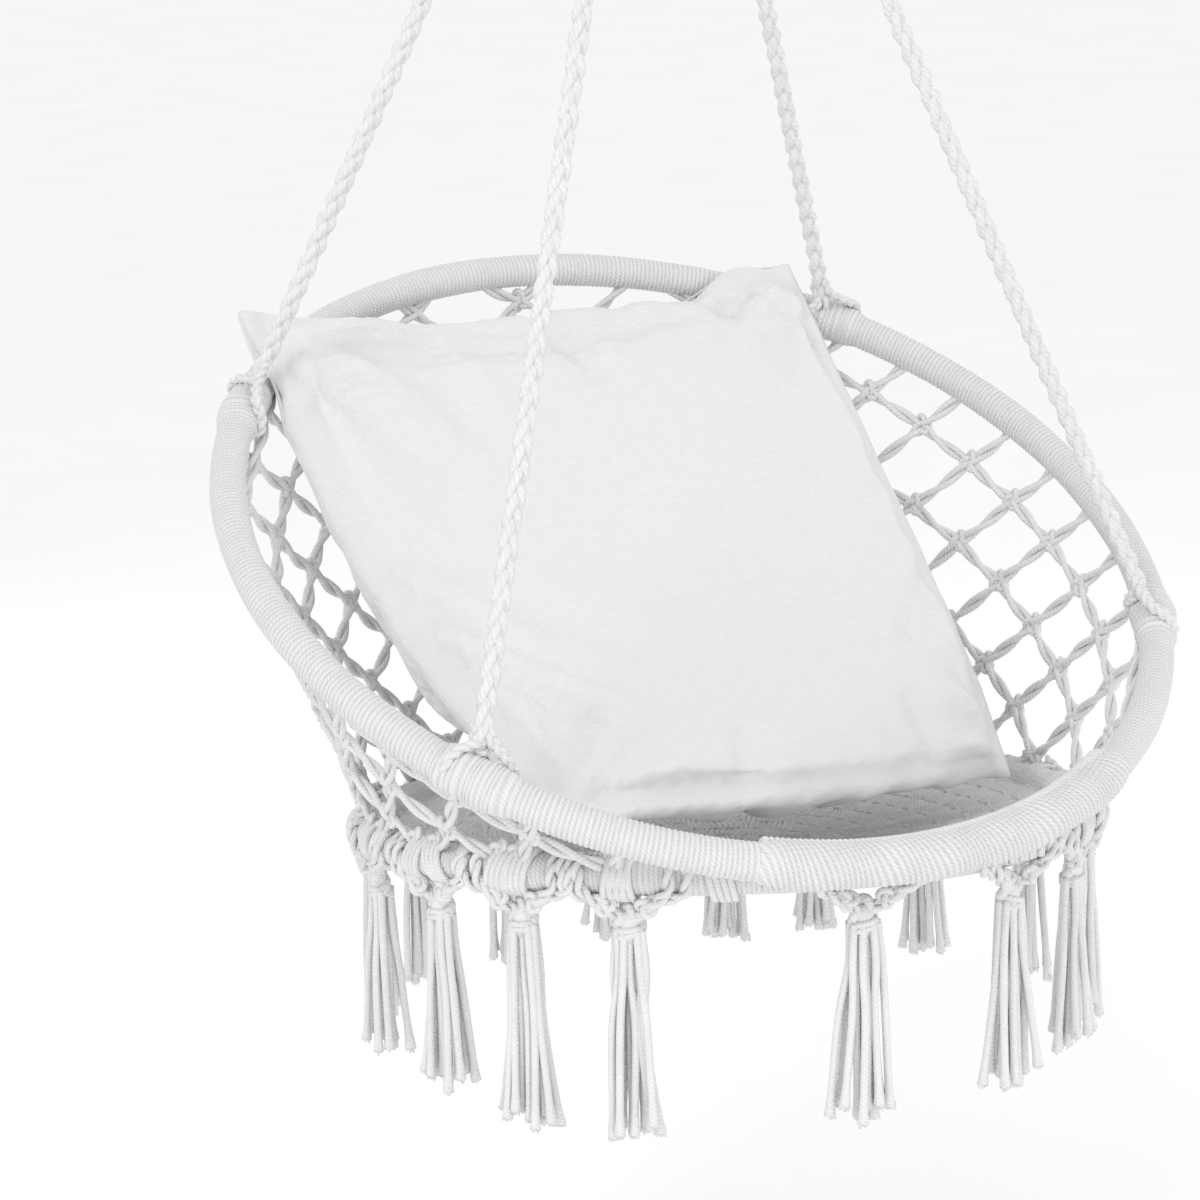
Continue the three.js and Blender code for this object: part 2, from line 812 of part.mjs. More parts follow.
// Rings of the spaces round the bindings, from one end of their cords to the other
function binding_rings() {
  const half_angle = binding_half_length() / back_hoop_radius / degree;
  const reach = wrap_radius + band_clearance + band_thickness + seat_gap;
  const radius = reach / Math.cos(Math.PI / loop_steps);
  return rope_angles.map(([, angle]) => {
    const ends = [angle - half_angle + 360, angle + half_angle + 360];
    return hoop_rings(back_hoop_radius, radius, loop_steps, ...ends);
  });
}

// Ropes: straight down out of the crown's neck, then taut to their bindings on the back hoop
const apex = point(0, apex_behind_seat, apex_above_seat);

function rope_curve(angle) {
  const hold = on_back(angle);
  const half = rope_spacing / 2;
  const start = apex.clone().add(
    point(Math.sign(hold.x) * half, Math.sign(hold.y - apex.y) * half, -rope_gather - seat_gap),
  );
  const share = (start.z - rope_bend - hold.z) / (apex.z - hold.z);
  const taut = hold.clone().lerp(apex, share);
  const way = apex.clone().sub(hold).normalize();
  const outside = wrap_radius + band_clearance + band_thickness + seat_gap + rope_radius / 2;
  const end = hold.clone().addScaledVector(way, outside);
  const curve = new THREE.CurvePath();
  const straight_end = start.clone().add(point(0, 0, -rope_straight));
  curve.add(new THREE.LineCurve3(start, straight_end));
  curve.add(
    new THREE.CubicBezierCurve3(
      straight_end,
      straight_end.clone().add(point(0, 0, -rope_straight)),
      taut.clone().addScaledVector(way, rope_bend / 2),
      taut,
    ),
  );
  curve.add(new THREE.LineCurve3(taut, end));
  return curve;
}

function rope(angle) {
  const curve = rope_curve(angle);
  const points = curve.getSpacedPoints(rope_steps);
  const rings = points.map((here, i) => {
    const before = points[Math.max(i - 1, 0)];
    const after = points[Math.min(i + 1, rope_steps)];
    const way = i === 0 ? point(0, 0, -1) : after.clone().sub(before).normalize();
    const across = way.clone().cross(point(0, 1, 0)).normalize();
    return circle(here, across, way.clone().cross(across), rope_radius, rope_sides);
  });
  return loft(rings, false);
}

// Net: a lattice of diagonal strands. Whole columns have knots in even rows, and the columns
// halfway between them have knots in odd rows. Rows are counted down from the back hoop.
const net_sweep = 360 - 2 * net_start_angle;
const column_angle = net_sweep / (net_columns - 1);
const net_end = wrap_radius + chord_slack + knot_half_height + knot_clearance;

function under_binding(angle) {
  const half_width = binding_half_length() + knot_half_width;
  return rope_angles.some(([, rope_angle]) => {
    const apart = ((angle - rope_angle + 540) % 360) - 180;
    return Math.abs(apart) * degree * back_hoop_radius < half_width;
  });
}

function net_place(column, row) {
  const angle = net_start_angle + column * column_angle;
  const top = on_back(angle);
  const down = on_seat(angle).sub(top);
  const start = net_end + (under_binding(angle) ? band_clearance + 2 * band_thickness : 0);
  const reach = down.length() - net_end;
  down.normalize();
  const depth = Math.max(start, net_end + row * net_row_height);
  const last = depth > reach - last_row_share * net_row_height;
  return { middle: top.addScaledVector(down, Math.min(depth, reach)), down, last };
}

// The knots that the lattice has: each hangs from one in the row above that isn't its last
function net_knots() {
  const knots = new Map();
  for (let row = 0, before = -1; knots.size > before; row += 1) {
    before = row === 0 ? -1 : knots.size;
    for (let column = (row % 2) / 2; column <= net_columns - 1; column += 1) {
      const held_by = [column - 1 / 2, column + 1 / 2].map((c) => knots.get(`${c},${row - 1}`));
      const holder = held_by.find((above) => above && !above.last);
      const place = net_place(column, row);
      if (holder || (row === 0 && !place.last)) {
        const panel = place.last ? holder.panel : panel_of(column);
        knots.set(`${column},${row}`, { column, row, panel, ...place });
      }
    }
  }
  return knots;
}

function panel_of(column) {
  const share = column / (net_columns - 1);
  return Math.min(net_panels - 1, Math.floor(share * net_panels));
}

// A knot's four corners: right, below, left and above, each as an outer and an inner point
function knot_corners(knot) {
  const angle = net_start_angle + knot.column * column_angle;
  const right = on_back(angle + 1).sub(on_back(angle - 1));
  right.addScaledVector(knot.down, -right.dot(knot.down)).normalize();
  const inward = right.clone().cross(knot.down).normalize();
  return [
    [right, knot_half_width],
    [knot.down, knot_half_height],
    [right, -knot_half_width],
    [knot.down, -knot_half_height],
  ].map(([way, reach]) =>
    [-1, 1].map((side) =>
      knot.middle
        .clone()
        .addScaledVector(way, reach)
        .addScaledVector(inward, side * strand_half_thickness),
    ),
  );
}

// One panel: the knots of its columns and the strands that run down from them. Each side of a
// knot, from a corner to the next one, holds a strand or is closed by a face.
function net_panel(knots, index) {
  const positions = [];
  const faces = [];
  const numbers = new Map();
  const numbered = (points, name) =>
    points.map((p, side) => {
      const key = `${name} ${side}`;
      if (!numbers.has(key)) {
        numbers.set(key, numbers.size);
        positions.push(p.x, p.y, p.z);
      }
      return numbers.get(key);
    });
  const quad = (a, b, c, d) => faces.push(a, b, c, a, c, d);
  const corner = (knot, k) =>
    numbered(knot_corners(knot)[k % 4], `${knot.column} ${knot.row} ${k % 4}`);
  // The end of a strand that stops just short of a corner of the next panel's knot
  const short_end = (knot, k, other, far) => {
    const from = knot_corners(knot)[k % 4];
    const to = knot_corners(other)[far % 4].map((p, side) => {
      const way = p.clone().sub(from[side]).normalize();
      return p.addScaledVector(way, -2 * seat_gap);
    });
    return numbered(to, `${knot.column} ${knot.row} ${k % 4} ${other.column} ${far % 4}`);
  };
  for (const knot of knots.values()) {
    if (knot.panel !== index) {
      continue;
    }
    const outer = [0, 1, 2, 3].map((k) => corner(knot, k)[0]);
    const inner = [0, 1, 2, 3].map((k) => corner(knot, k)[1]);
    quad(outer[0], outer[3], outer[2], outer[1]);
    quad(inner[1], inner[2], inner[3], inner[0]);
    const neighbours = [[1 / 2, 1], [-1 / 2, 1], [-1 / 2, -1], [1 / 2, -1]];
    neighbours.forEach(([across, rows], k) => {
      const other = knots.get(`${knot.column + across},${knot.row + rows}`);
      const runs_down = rows > 0;
      const linked = other && !(runs_down ? knot : other).last;
      const same_panel = linked && other.panel === index;
      const first = corner(knot, k);
      const second = corner(knot, k + 1);
      if (!linked || (!runs_down && !same_panel)) {
        quad(first[0], second[0], second[1], first[1]);
      } else if (runs_down) {
        const past_second = same_panel ? corner(other, k + 2) : short_end(knot, k + 1, other, k + 2);
        const past_first = same_panel ? corner(other, k + 3) : short_end(knot, k, other, k + 3);
        quad(first[0], second[0], past_second[0], past_first[0]);
        quad(past_first[1], past_second[1], second[1], first[1]);
        quad(past_second[0], second[0], second[1], past_second[1]);
        quad(first[0], past_first[0], past_first[1], first[1]);
        if (!same_panel) {
          quad(past_first[0], past_second[0], past_second[1], past_first[1]);
        }
      }
    });
  }
  const panel = solid_of(facing_out(positions, faces));
  return geometry_of(without(panel, [seat_room, back_room]));
}

// Front panel: knotted cords over the inner side of the hoops' fronts and round the back hoop
function front_panel() {
  const away = wrap_radius + panel_clearance + panel_thickness / 2;
  const foot_away = wrap_radius + panel_thickness / 2;
  const section = (angle) => {
    const middle = on_back(angle);
    const tangent = on_back(angle + 1).sub(on_back(angle - 1)).normalize();
    const seat_angle = nearest_seat_angle(middle);
    const down = on_seat(seat_angle).sub(middle);
    down.addScaledVector(tangent, -down.dot(tangent));
    const reach = down.length();
    down.normalize();
    const inward = tangent.clone().cross(down);
    if (inward.z < 0) {
      inward.negate();
    }
    const side = (offset) => {
      const around = Array.from({ length: panel_arc_steps + 1 }, (_, i) => {
        const turn = (panel_wrap_angle * degree * i) / panel_arc_steps;
        return middle
          .clone()
          .addScaledVector(inward, (away + offset) * Math.cos(turn))
          .addScaledVector(down, -(away + offset) * Math.sin(turn));
      });
      const foot = middle
        .clone()
        .addScaledVector(inward, foot_away + offset)
        .addScaledVector(down, reach);
      return [foot, ...around];
    };
    const outside = side(panel_thickness / 2);
    const inside = side(-panel_thickness / 2);
    return [...outside, ...inside.reverse()];
  };
  const rings = Array.from({ length: panel_steps + 1 }, (_, i) =>
    section(panel_half_angle * ((2 * i) / panel_steps - 1)),
  );
  return slab_loft(rings);
}

// The angle on the seat hoop whose point is nearest to a place
function nearest_seat_angle(place) {
  const local = place.clone().applyMatrix4(seat_frame.clone().invert());
  return Math.atan2(local.x, -local.y) / degree;
}

// A loft of U-shaped sections, whose ends are closed by strips between their two sides
function slab_loft(rings) {
  const sides = rings[0].length;
  const positions = rings.flat().flatMap((p) => [p.x, p.y, p.z]);
  const faces = [];
  for (let i = 0; i < rings.length - 1; i += 1) {
    for (let k = 0; k < sides; k += 1) {
      const here = i * sides;
      const next = here + sides;
      const other = (k + 1) % sides;
      faces.push(here + k, here + other, next + other);
      faces.push(here + k, next + other, next + k);
    }
  }
  const last = (rings.length - 1) * sides;
  for (let k = 0; k < sides / 2 - 1; k += 1) {
    const far = sides - 1 - k;
    faces.push(k, far, far - 1);
    faces.push(k, far - 1, k + 1);
    faces.push(last + k, last + far - 1, last + far);
    faces.push(last + k, last + k + 1, last + far - 1);
  }
  return facing_out(positions, faces);
}

// Seat mat: a shallow hammock of knotted cord that fills the seat hoop
function seat_mat() {
  const rim = seat_hoop_radius - wrap_radius - seat_gap;
  const sunk = (share) => -mat_sag * (1 - share * share);
  const shares = Array.from({ length: mat_rings + 1 }, (_, i) => i / mat_rings);
  const top = shares.map((share) => [rim * share, sunk(share) + mat_thickness / 2]);
  const under = shares.map((share) => [rim * share, sunk(share) - mat_thickness / 2]).reverse();
  const outline = [...top, ...under].map(([r, z]) => new THREE.Vector2(r, z));
  const disc = new THREE.LatheGeometry(outline, hoop_steps).rotateX(Math.PI / 2);
  return facing_out_lathe(disc).applyMatrix4(seat_frame);
}

// Tassel: a bound head under the seat hoop and a bundle of loose cords. A row of the profile has
// its share of the length, its radius on the cords and its radius between the cords.
function tassel(index) {
  const hold = on_seat(tassel_angles[index]);
  const length = tassel_length * tassel_length_shares[index] - tassel_top;
  const rings = tassel_profile.map(([share, ridge, groove]) =>
    Array.from({ length: 2 * tassel_flutes }, (_, k) => {
      const angle = (Math.PI * k) / tassel_flutes + index;
      const radius = k % 2 === 0 ? ridge : groove;
      const drop = tassel_top + share * length;
      return hold.clone().add(point(radius * Math.cos(angle), radius * Math.sin(angle), -drop));
    }),
  );
  return geometry_of(without(solid_of(loft(rings, false)), [seat_room]));
}

// Cushion: a square pillow that leans on the back net and stands on the seat.
// Its middle surface passes through nine points, given left to right and top to bottom.
function cushion_middle(u, v) {
  const blend = (a, b, c, t) => {
    const low = (t * (t - 1)) / 2;
    const high = (t * (t + 1)) / 2;
    return point(0, 0, 0)
      .addScaledVector(a, low)
      .addScaledVector(b, 1 - t * t)
      .addScaledVector(c, high);
  };
  const rows = cushion_points.map(([a, b, c]) => blend(point(...a), point(...b), point(...c), u));
  return blend(rows[0], rows[1], rows[2], v);
}

// Moves a place that is too near the back hoop straight away from the hoop's centre line
function clear_of_back_hoop(place, least) {
  const local = place.clone().applyMatrix4(back_frame.clone().invert());
  const middle = on_back(Math.atan2(local.x, -local.y) / degree);
  const way = place.clone().sub(middle);
  const reach = way.length();
  return reach < least ? middle.addScaledVector(way, least / reach) : place;
}

// The corners of the cushion lie over the back hoop, so its middle surface bends round the hoop
function draped_middle(u, v) {
  return clear_of_back_hoop(cushion_middle(u, v), wrap_radius + cushion_over_hoop);
}

// The space that the back hoop and its bindings take as the cushion is drawn out past them
function lift_rooms() {
  const turn = cushion_lift_angle * degree;
  const way = point(0, -Math.cos(turn), Math.sin(turn)).transformDirection(
    back_frame.clone().invert(),
  );
  const swept = (rings) =>
    rings.map((ring) => {
      const middle = ring.reduce((sum, p) => sum.add(p), point(0, 0, 0));
      middle.divideScalar(ring.length);
      return ring.map((p) =>
        p.clone().sub(middle).dot(way) < 0 ? p.clone().addScaledVector(way, -cushion_lift) : p,
      );
    });
  const radius = wrap_radius + 2 * seat_gap;
  const hoop = hoop_rings(back_hoop_radius, radius, loop_steps, 0, 360).slice(0, hoop_steps);
  const bound = binding_rings().map((rings) => loft(swept(rings), false));
  return [loft(swept(hoop), true), ...bound].map((room) => room.applyMatrix4(back_frame));
}

function cushion() {
  const sides = 4 * cushion_cells;
  const step = 1 / cushion_cells;
  const place = (u, v, side) => {
    const x = u * (1 - cushion_draw_share * (1 - v * v));
    const y = v * (1 - cushion_draw_share * (1 - u * u));
    const right = draped_middle(x + step, y).sub(draped_middle(x - step, y));
    const down = draped_middle(x, y + step).sub(draped_middle(x, y - step));
    const face = right.cross(down).normalize();
    const swell = ((1 - u * u) * (1 - v * v)) ** cushion_fullness;
    const half = cushion_edge + (cushion_half_thickness - cushion_edge) * swell;
    const surface = draped_middle(x, y).addScaledVector(face, side * half);
    return clear_of_back_hoop(surface, wrap_radius + seat_gap);
  };
  const ring = (level, side) =>
    Array.from({ length: sides }, (_, k) => {
      const t = (2 * (k % cushion_cells)) / cushion_cells - 1;
      const [u, v] = [[t, -1], [1, t], [-t, 1], [-1, -t]][Math.floor(k / cushion_cells)];
      return place(u * level, v * level, side);
    });
  const front = cushion_levels.map((level) => ring(level, -1));
  const back = cushion_levels.map((level) => ring(level, 1)).reverse();
  const pillow = solid_of(loft([...front, ...back], false));
  return geometry_of(without(pillow, lift_rooms()));
}

// Assembly
add(root, 'ceiling_plate', ceiling_plate(), polished);
add(root, 'plate_eye', plate_eye(), polished);
screw_places().forEach(([x, y], i) => {
  const screw = add(root, `lag_screw_${i + 1}`, lag_screw(), zinc);
  screw.position.set(x, y, 0);
  screw.rotation.z = Math.atan2(y, x);
});
add(root, 'chain', chain(), zinc);
add(root, 'carabiner_body', carabiner_body(), zinc);
add(root, 'carabiner_gate', carabiner_gate(), zinc);
add(root, 'gate_pin', gate_pin(), zinc);
const ring = new THREE.TorusGeometry(ring_radius, ring_wire_radius, wrap_sides, plate_sides);
const crown_ring = add(root, 'crown_ring', facing_out_lathe(ring.rotateY(Math.PI / 2)), zinc);
crown_ring.position.set(0, 0, ring_top_z - ring_radius);
add(root, 'rope_crown', rope_crown(), cord_white);
add(root, 'crown_binding', crown_binding(), cord_shade);

chair.position.set(0, -apex_behind_seat, seat_z);
for (const [name, angle] of rope_angles) {
  add(chair, `rope_${name}`, rope(angle), cord_white);
  const binding = add(chair, `binding_${name}`, rope_binding(`binding_${name}`, angle), cord_shade);
  binding.applyMatrix4(back_frame);
}

const back_tube = add(chair, 'back_hoop_tube', hoop_tube(back_hoop_radius), bar_steel);
back_tube.applyMatrix4(back_frame);
const seat_tube = add(chair, 'seat_hoop_tube', hoop_tube(seat_hoop_radius), bar_steel);
seat_tube.applyMatrix4(seat_frame);
const back_wrap_angles = rope_angles.map(([, angle]) => (angle + 360) % 360).sort((a, b) => a - b);
for (const [name, hoop_radius, frame, angles] of [
  ['back', back_hoop_radius, back_frame, back_wrap_angles],
  ['seat', seat_hoop_radius, seat_frame, seat_wrap_angles],
]) {
  angles.forEach((from, i) => {
    const to = i + 1 < angles.length ? angles[i + 1] : angles[0] + 360;
    const wrap = add(chair, `${name}_wrap_${i + 1}`, wrap_run(hoop_radius, from, to), cord_white);
    wrap.applyMatrix4(frame);
  });
}

const knots = net_knots();
for (let i = 0; i < net_panels; i += 1) {
  add(chair, `net_panel_${i + 1}`, net_panel(knots, i), cord_white);
}
add(chair, 'front_panel', front_panel(), cord_shade);
add(chair, 'seat_mat', seat_mat(), cord_shade);
tassel_angles.forEach((_, i) => {
  add(chair, `tassel_${i + 1}`, tassel(i), cord_white);
});
add(chair, 'cushion', cushion(), cloth);

export default root;
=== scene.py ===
"""A white macrame hammock chair, its cushion and its ceiling kit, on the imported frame."""
import math
import random

import bpy
import numpy as np
from mathutils import Matrix, Vector
from mathutils.bvhtree import BVHTree
from mathutils.kdtree import KDTree


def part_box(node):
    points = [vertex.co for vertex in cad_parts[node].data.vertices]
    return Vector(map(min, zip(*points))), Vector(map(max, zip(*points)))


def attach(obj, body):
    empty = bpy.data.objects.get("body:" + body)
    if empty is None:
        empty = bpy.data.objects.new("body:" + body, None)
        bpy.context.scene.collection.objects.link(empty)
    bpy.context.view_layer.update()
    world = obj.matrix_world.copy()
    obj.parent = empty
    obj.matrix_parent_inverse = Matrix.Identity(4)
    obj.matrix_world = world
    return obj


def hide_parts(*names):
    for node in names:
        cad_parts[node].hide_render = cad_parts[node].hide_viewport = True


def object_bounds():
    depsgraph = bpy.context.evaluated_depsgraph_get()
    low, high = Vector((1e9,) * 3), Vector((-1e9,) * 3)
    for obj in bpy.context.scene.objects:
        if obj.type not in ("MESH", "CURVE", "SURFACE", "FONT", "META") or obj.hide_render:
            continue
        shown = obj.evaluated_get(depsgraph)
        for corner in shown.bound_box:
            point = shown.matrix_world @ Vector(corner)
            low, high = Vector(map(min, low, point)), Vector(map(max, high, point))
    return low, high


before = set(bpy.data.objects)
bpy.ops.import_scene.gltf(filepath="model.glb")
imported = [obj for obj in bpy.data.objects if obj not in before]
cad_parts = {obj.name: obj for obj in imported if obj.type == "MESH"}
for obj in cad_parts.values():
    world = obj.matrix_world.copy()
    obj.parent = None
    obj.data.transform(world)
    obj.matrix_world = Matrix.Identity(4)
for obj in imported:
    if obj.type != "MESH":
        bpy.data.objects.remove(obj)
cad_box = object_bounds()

# Lengths are in millimetres, and meshes and the camera are scaled to metres
MM = 0.001

# Where the chair hangs below the ceiling plate's top face
apex_above_seat = 1068.0
apex_behind_seat = 46.0
neck_foot_z = -548.85
rope_gather = 86.0
seat_gap = 0.3
chair_origin = np.array([0.0, -apex_behind_seat, neck_foot_z + rope_gather - apex_above_seat])
kit_origin = np.zeros(3)

# Hoops
back_hoop_radius = 390.0
seat_hoop_radius = 296.0
wrap_radius = 15.0
seat_tilt = math.radians(9)
seat_roll = math.radians(6)
back_tilt = math.radians(26)
hoops_apart_forward = 30.5
hoops_apart_up = 19.0
wrap_cord_radius = 2.1
wrap_twists_round = 27
wrap_twist_step = 0.8

# Ropes
rope_radius = 8.0
rope_spacing = 17.0
rope_straight = 12.0
rope_bend = 100.0
braid_length = 57.0
rope_angles = {
    "front_left": -57.4,
    "front_right": 57.4,
    "back_left": -129.8,
    "back_right": 129.8,
}
binding_reach = 25.6
binding_bulge = 4.2
binding_half_width = 33.4

# Crown: the ropes' folds through the ring, their neck, and the cord wound on it
fold_half_width = 12.3
folds_apart = 8.6
neck_length = 54.0
neck_cords = 22
ring_wire_radius = 3.0
whipping_cord_radius = 2.1
whipping_reach = 21.6

# Net: its lines fall gently towards the front and steeply towards the back, in mm a degree
net_start_angle = 29.5
net_gentle_fall = 3.3
net_steep_fall = 4.94
net_line_apart = 70.0
net_line_numbers = range(-24, 8)
net_phases = (15.0, 36.0)
net_end = 27.0
net_cord_radius = 2.85
net_cord_lay = 78.0
net_edge = 9.0

# Front: its slanting cover, and the cords that run from the mat to it
front_cover_half_angle = 26.0
front_cover_pitch = 4.9
front_cover_slant = 9
front_cover_cord_radius = 2.45
front_half_angle = 25.0
front_cords = 76

# Seat
mat_sag = 32.0
mat_front_climb = 14.0
mat_row_pitch = 25.0
mat_knot_length = 43.0
mat_knot_cords = 9
mat_cord_radius = 2.45
mat_cord_shares = [(k - (mat_knot_cords - 1) / 2) / mat_knot_cords for k in range(mat_knot_cords)]

# Tassels
tassel_angles = [12, 33, 56, 82, 108, 129, 146, 167, 188, 212, 234, 255, 277, 294, 311, 345]
tassel_length = 212.0
tassel_length_shares = [
    0.94, 0.89, 0.9, 0.88, 0.87, 0.8, 0.84, 0.8, 0.86, 0.83, 0.85, 0.87, 0.91, 1, 1, 0.96,
]
tassel_cords = 13
tassel_cord_radius = 3.1
tassel_head_drop = 34.0
tassel_frays = 12

# How finely the common cords are made: their sides, plies, and the length of one twist
mat_cord = {"sides": 6, "plies": 2, "lay": 8.0}
knot_cord = {"sides": 7, "plies": 3, "lay": 9.0}

# Cushion: the middle surface through nine points, the half thickness and the shape of its rim
cushion_points = np.array(
    [
        [[-277, 294, 430], [50, 355, 387], [276, 276, 406]],
        [[-295, 103, 225], [19, 86, 145], [275, 99, 232]],
        [[-268, -166, 108], [59, -140, 49], [201, -139, 38]],
    ],
    float,
)
cushion_half_thickness = 50.0
cushion_edge = 5.0
cushion_fullness = 0.54
cushion_draw_share = 0.05
cushion_low_shift = np.array([-3, -10, -6.0])
cushion_low_reach = 0.04
cushion_low_taper = 0.42
# Creases: where each starts and ends on the square, its depth, and its width on the square
cushion_creases = [
    ((-0.85, -0.84), (0.5, -0.88), 8.0, 0.035),
    ((0.55, -1.0), (0.72, -0.74), 8.0, 0.04),
    ((0.74, -0.9), (0.95, -0.62), 6.0, 0.035),
    ((-0.12, -1.0), (0.03, -0.76), 8.0, 0.04),
    ((-0.55, -0.86), (-0.48, -0.56), 6.0, 0.06),
    ((-1.0, -0.72), (-0.66, -0.66), 6.0, 0.04),
    ((-1.0, 0.3), (-0.68, 0.66), 9.0, 0.045),
    ((-1.0, 0.02), (-0.78, 0.3), 7.0, 0.045),
    ((-0.66, 0.1), (-0.36, 0.28), 4.0, 0.08),
    ((0.42, 0.7), (0.3, 1.0), 6.0, 0.05),
    ((-0.32, 0.72), (-0.46, 1.0), 6.0, 0.05),
    ((0.9, 0.35), (0.62, 0.5), 5.0, 0.06),
]
cushion_cells = 40
cushion_over_hoop = 14.0
cushion_voxel = 5.5
cushion_cap = 9.0
cushion_frames = 20
cushion_filling = {
    "use_pressure": True,
    "uniform_pressure_force": 4.0,
    "quality": 5,
    "tension_stiffness": 8,
    "compression_stiffness": 4,
    "bending_stiffness": 0.15,
}
cushion_off_back_hoop = 1.5
cushion_off_wrap = 1.2
cushion_off_binding = 5.6
cushion_off_seat_hoop = 2.5
cushion_off_rope = 1.5
cushion_over_mat = 6.0


def unit(vector):
    return vector / np.linalg.norm(vector)


def turn_x(angle):
    c, s = math.cos(angle), math.sin(angle)
    return np.array([[1, 0, 0], [0, c, -s], [0, s, c]])


def turn_y(angle):
    c, s = math.cos(angle), math.sin(angle)
    return np.array([[c, 0, s], [0, 1, 0], [-s, 0, c]])


def turn_z(angle):
    c, s = math.cos(angle), math.sin(angle)
    return np.array([[c, -s, 0], [s, c, 0], [0, 0, 1]])


def once_round(count):
    """So many equal steps of one whole turn, in radians."""
    return np.linspace(0, 2 * math.pi, count, endpoint=False)


# Hoops in the chair's frame, whose origin is the seat hoop's middle
seat_turn = turn_y(seat_roll) @ turn_x(-seat_tilt)
back_turn = turn_x(back_tilt)
front_of_seat = seat_hoop_radius * np.array([0, -math.cos(seat_tilt), math.sin(seat_tilt)])
back_middle = np.array(
    [
        0,
        front_of_seat[1] - hoops_apart_forward + back_hoop_radius * math.cos(back_tilt),
        front_of_seat[2] + hoops_apart_up + back_hoop_radius * math.sin(back_tilt),
    ]
)


class Hoop:
    """A wrapped ring: places on it are given by an angle from its front, in degrees."""

    def __init__(self, radius, turn, middle):
        self.radius = radius
        self.turn = turn
        self.middle = middle
        self.rise = turn @ np.array([0, 0, 1.0])

    def out(self, angle):
        a = math.radians(angle)
        return self.turn @ np.array([math.sin(a), -math.cos(a), 0])

    def along(self, angle):
        a = math.radians(angle)
        return self.turn @ np.array([math.cos(a), math.sin(a), 0])

    def at(self, angle, away=0.0, wind=0.0):
        """A place on the ring, or away from its centre line at an angle round it."""
        w = math.radians(wind)
        lean = self.out(angle) * math.cos(w) + self.rise * math.sin(w)
        return self.middle + self.out(angle) * self.radius + lean * away

    def angle_of(self, place):
        local = self.turn.T @ (np.asarray(place) - self.middle)
        return math.degrees(math.atan2(local[0], -local[1]))


back_hoop = Hoop(back_hoop_radius, back_turn, back_middle)
seat_hoop = Hoop(seat_hoop_radius, seat_turn, np.zeros(3))


# Meshes of cord: every tube is a list of rings
def directions_along(points, closed=False):
    """Across and through at each point, turned as little as possible from one to the next."""
    if closed:
        ways = np.roll(points, -1, 0) - np.roll(points, 1, 0)
    else:
        ways = np.gradient(points, axis=0)
    ways /= np.linalg.norm(ways, axis=1)[:, None]
    across = np.empty_like(points)
    hint = np.eye(3)[np.argmin(np.abs(ways[0]))]
    side = unit(hint - ways[0] * (hint @ ways[0]))
    for i, way in enumerate(ways):
        side = unit(side - way * (side @ way))
        across[i] = side
    if closed:
        back = unit(side - ways[0] * (side @ ways[0]))
        drift = math.atan2(np.cross(back, across[0]) @ ways[0], back @ across[0])
        for i, way in enumerate(ways):
            a = drift * i / len(points)
            across[i] = across[i] * math.cos(a) + np.cross(way, across[i]) * math.sin(a)
    return across, np.cross(ways, across)


def tube(points, radius, sides=8, closed=False, plies=0, lay=14.0, depth=0.0, flat=1.0):
    """Rings of a cord along points. With a depth, its plies are shaped and not only shaded."""
    points = np.asarray(points, float)
    across, through = directions_along(points, closed)
    turns = once_round(sides)
    size = np.broadcast_to(np.asarray(radius, float), (len(points),))[:, None]
    if depth:
        run = run_along(points)[:, None]
        size = size * (1 - depth + depth * np.cos(plies * turns[None] + 2 * math.pi * run / lay))
    ring = size[..., None] * (
        across[:, None] * np.cos(turns)[None, :, None]
        + flat * through[:, None] * np.sin(turns)[None, :, None]
    )
    return points[:, None] + ring


def run_along(points):
    """How far along the line each of its points is."""
    return np.concatenate([[0], np.cumsum(np.linalg.norm(np.diff(points, axis=0), axis=1))])


def placed(name, data):
    """A new object in the scene."""
    thing = bpy.data.objects.new(name, data)
    bpy.context.scene.collection.objects.link(thing)
    return thing


def keep_shape(piece):
    """Applies what its modifiers have made of a piece."""
    scene_now = bpy.context.evaluated_depsgraph_get()
    shaped = bpy.data.meshes.new_from_object(piece.evaluated_get(scene_now))
    piece.modifiers.clear()
    piece.data = shaped


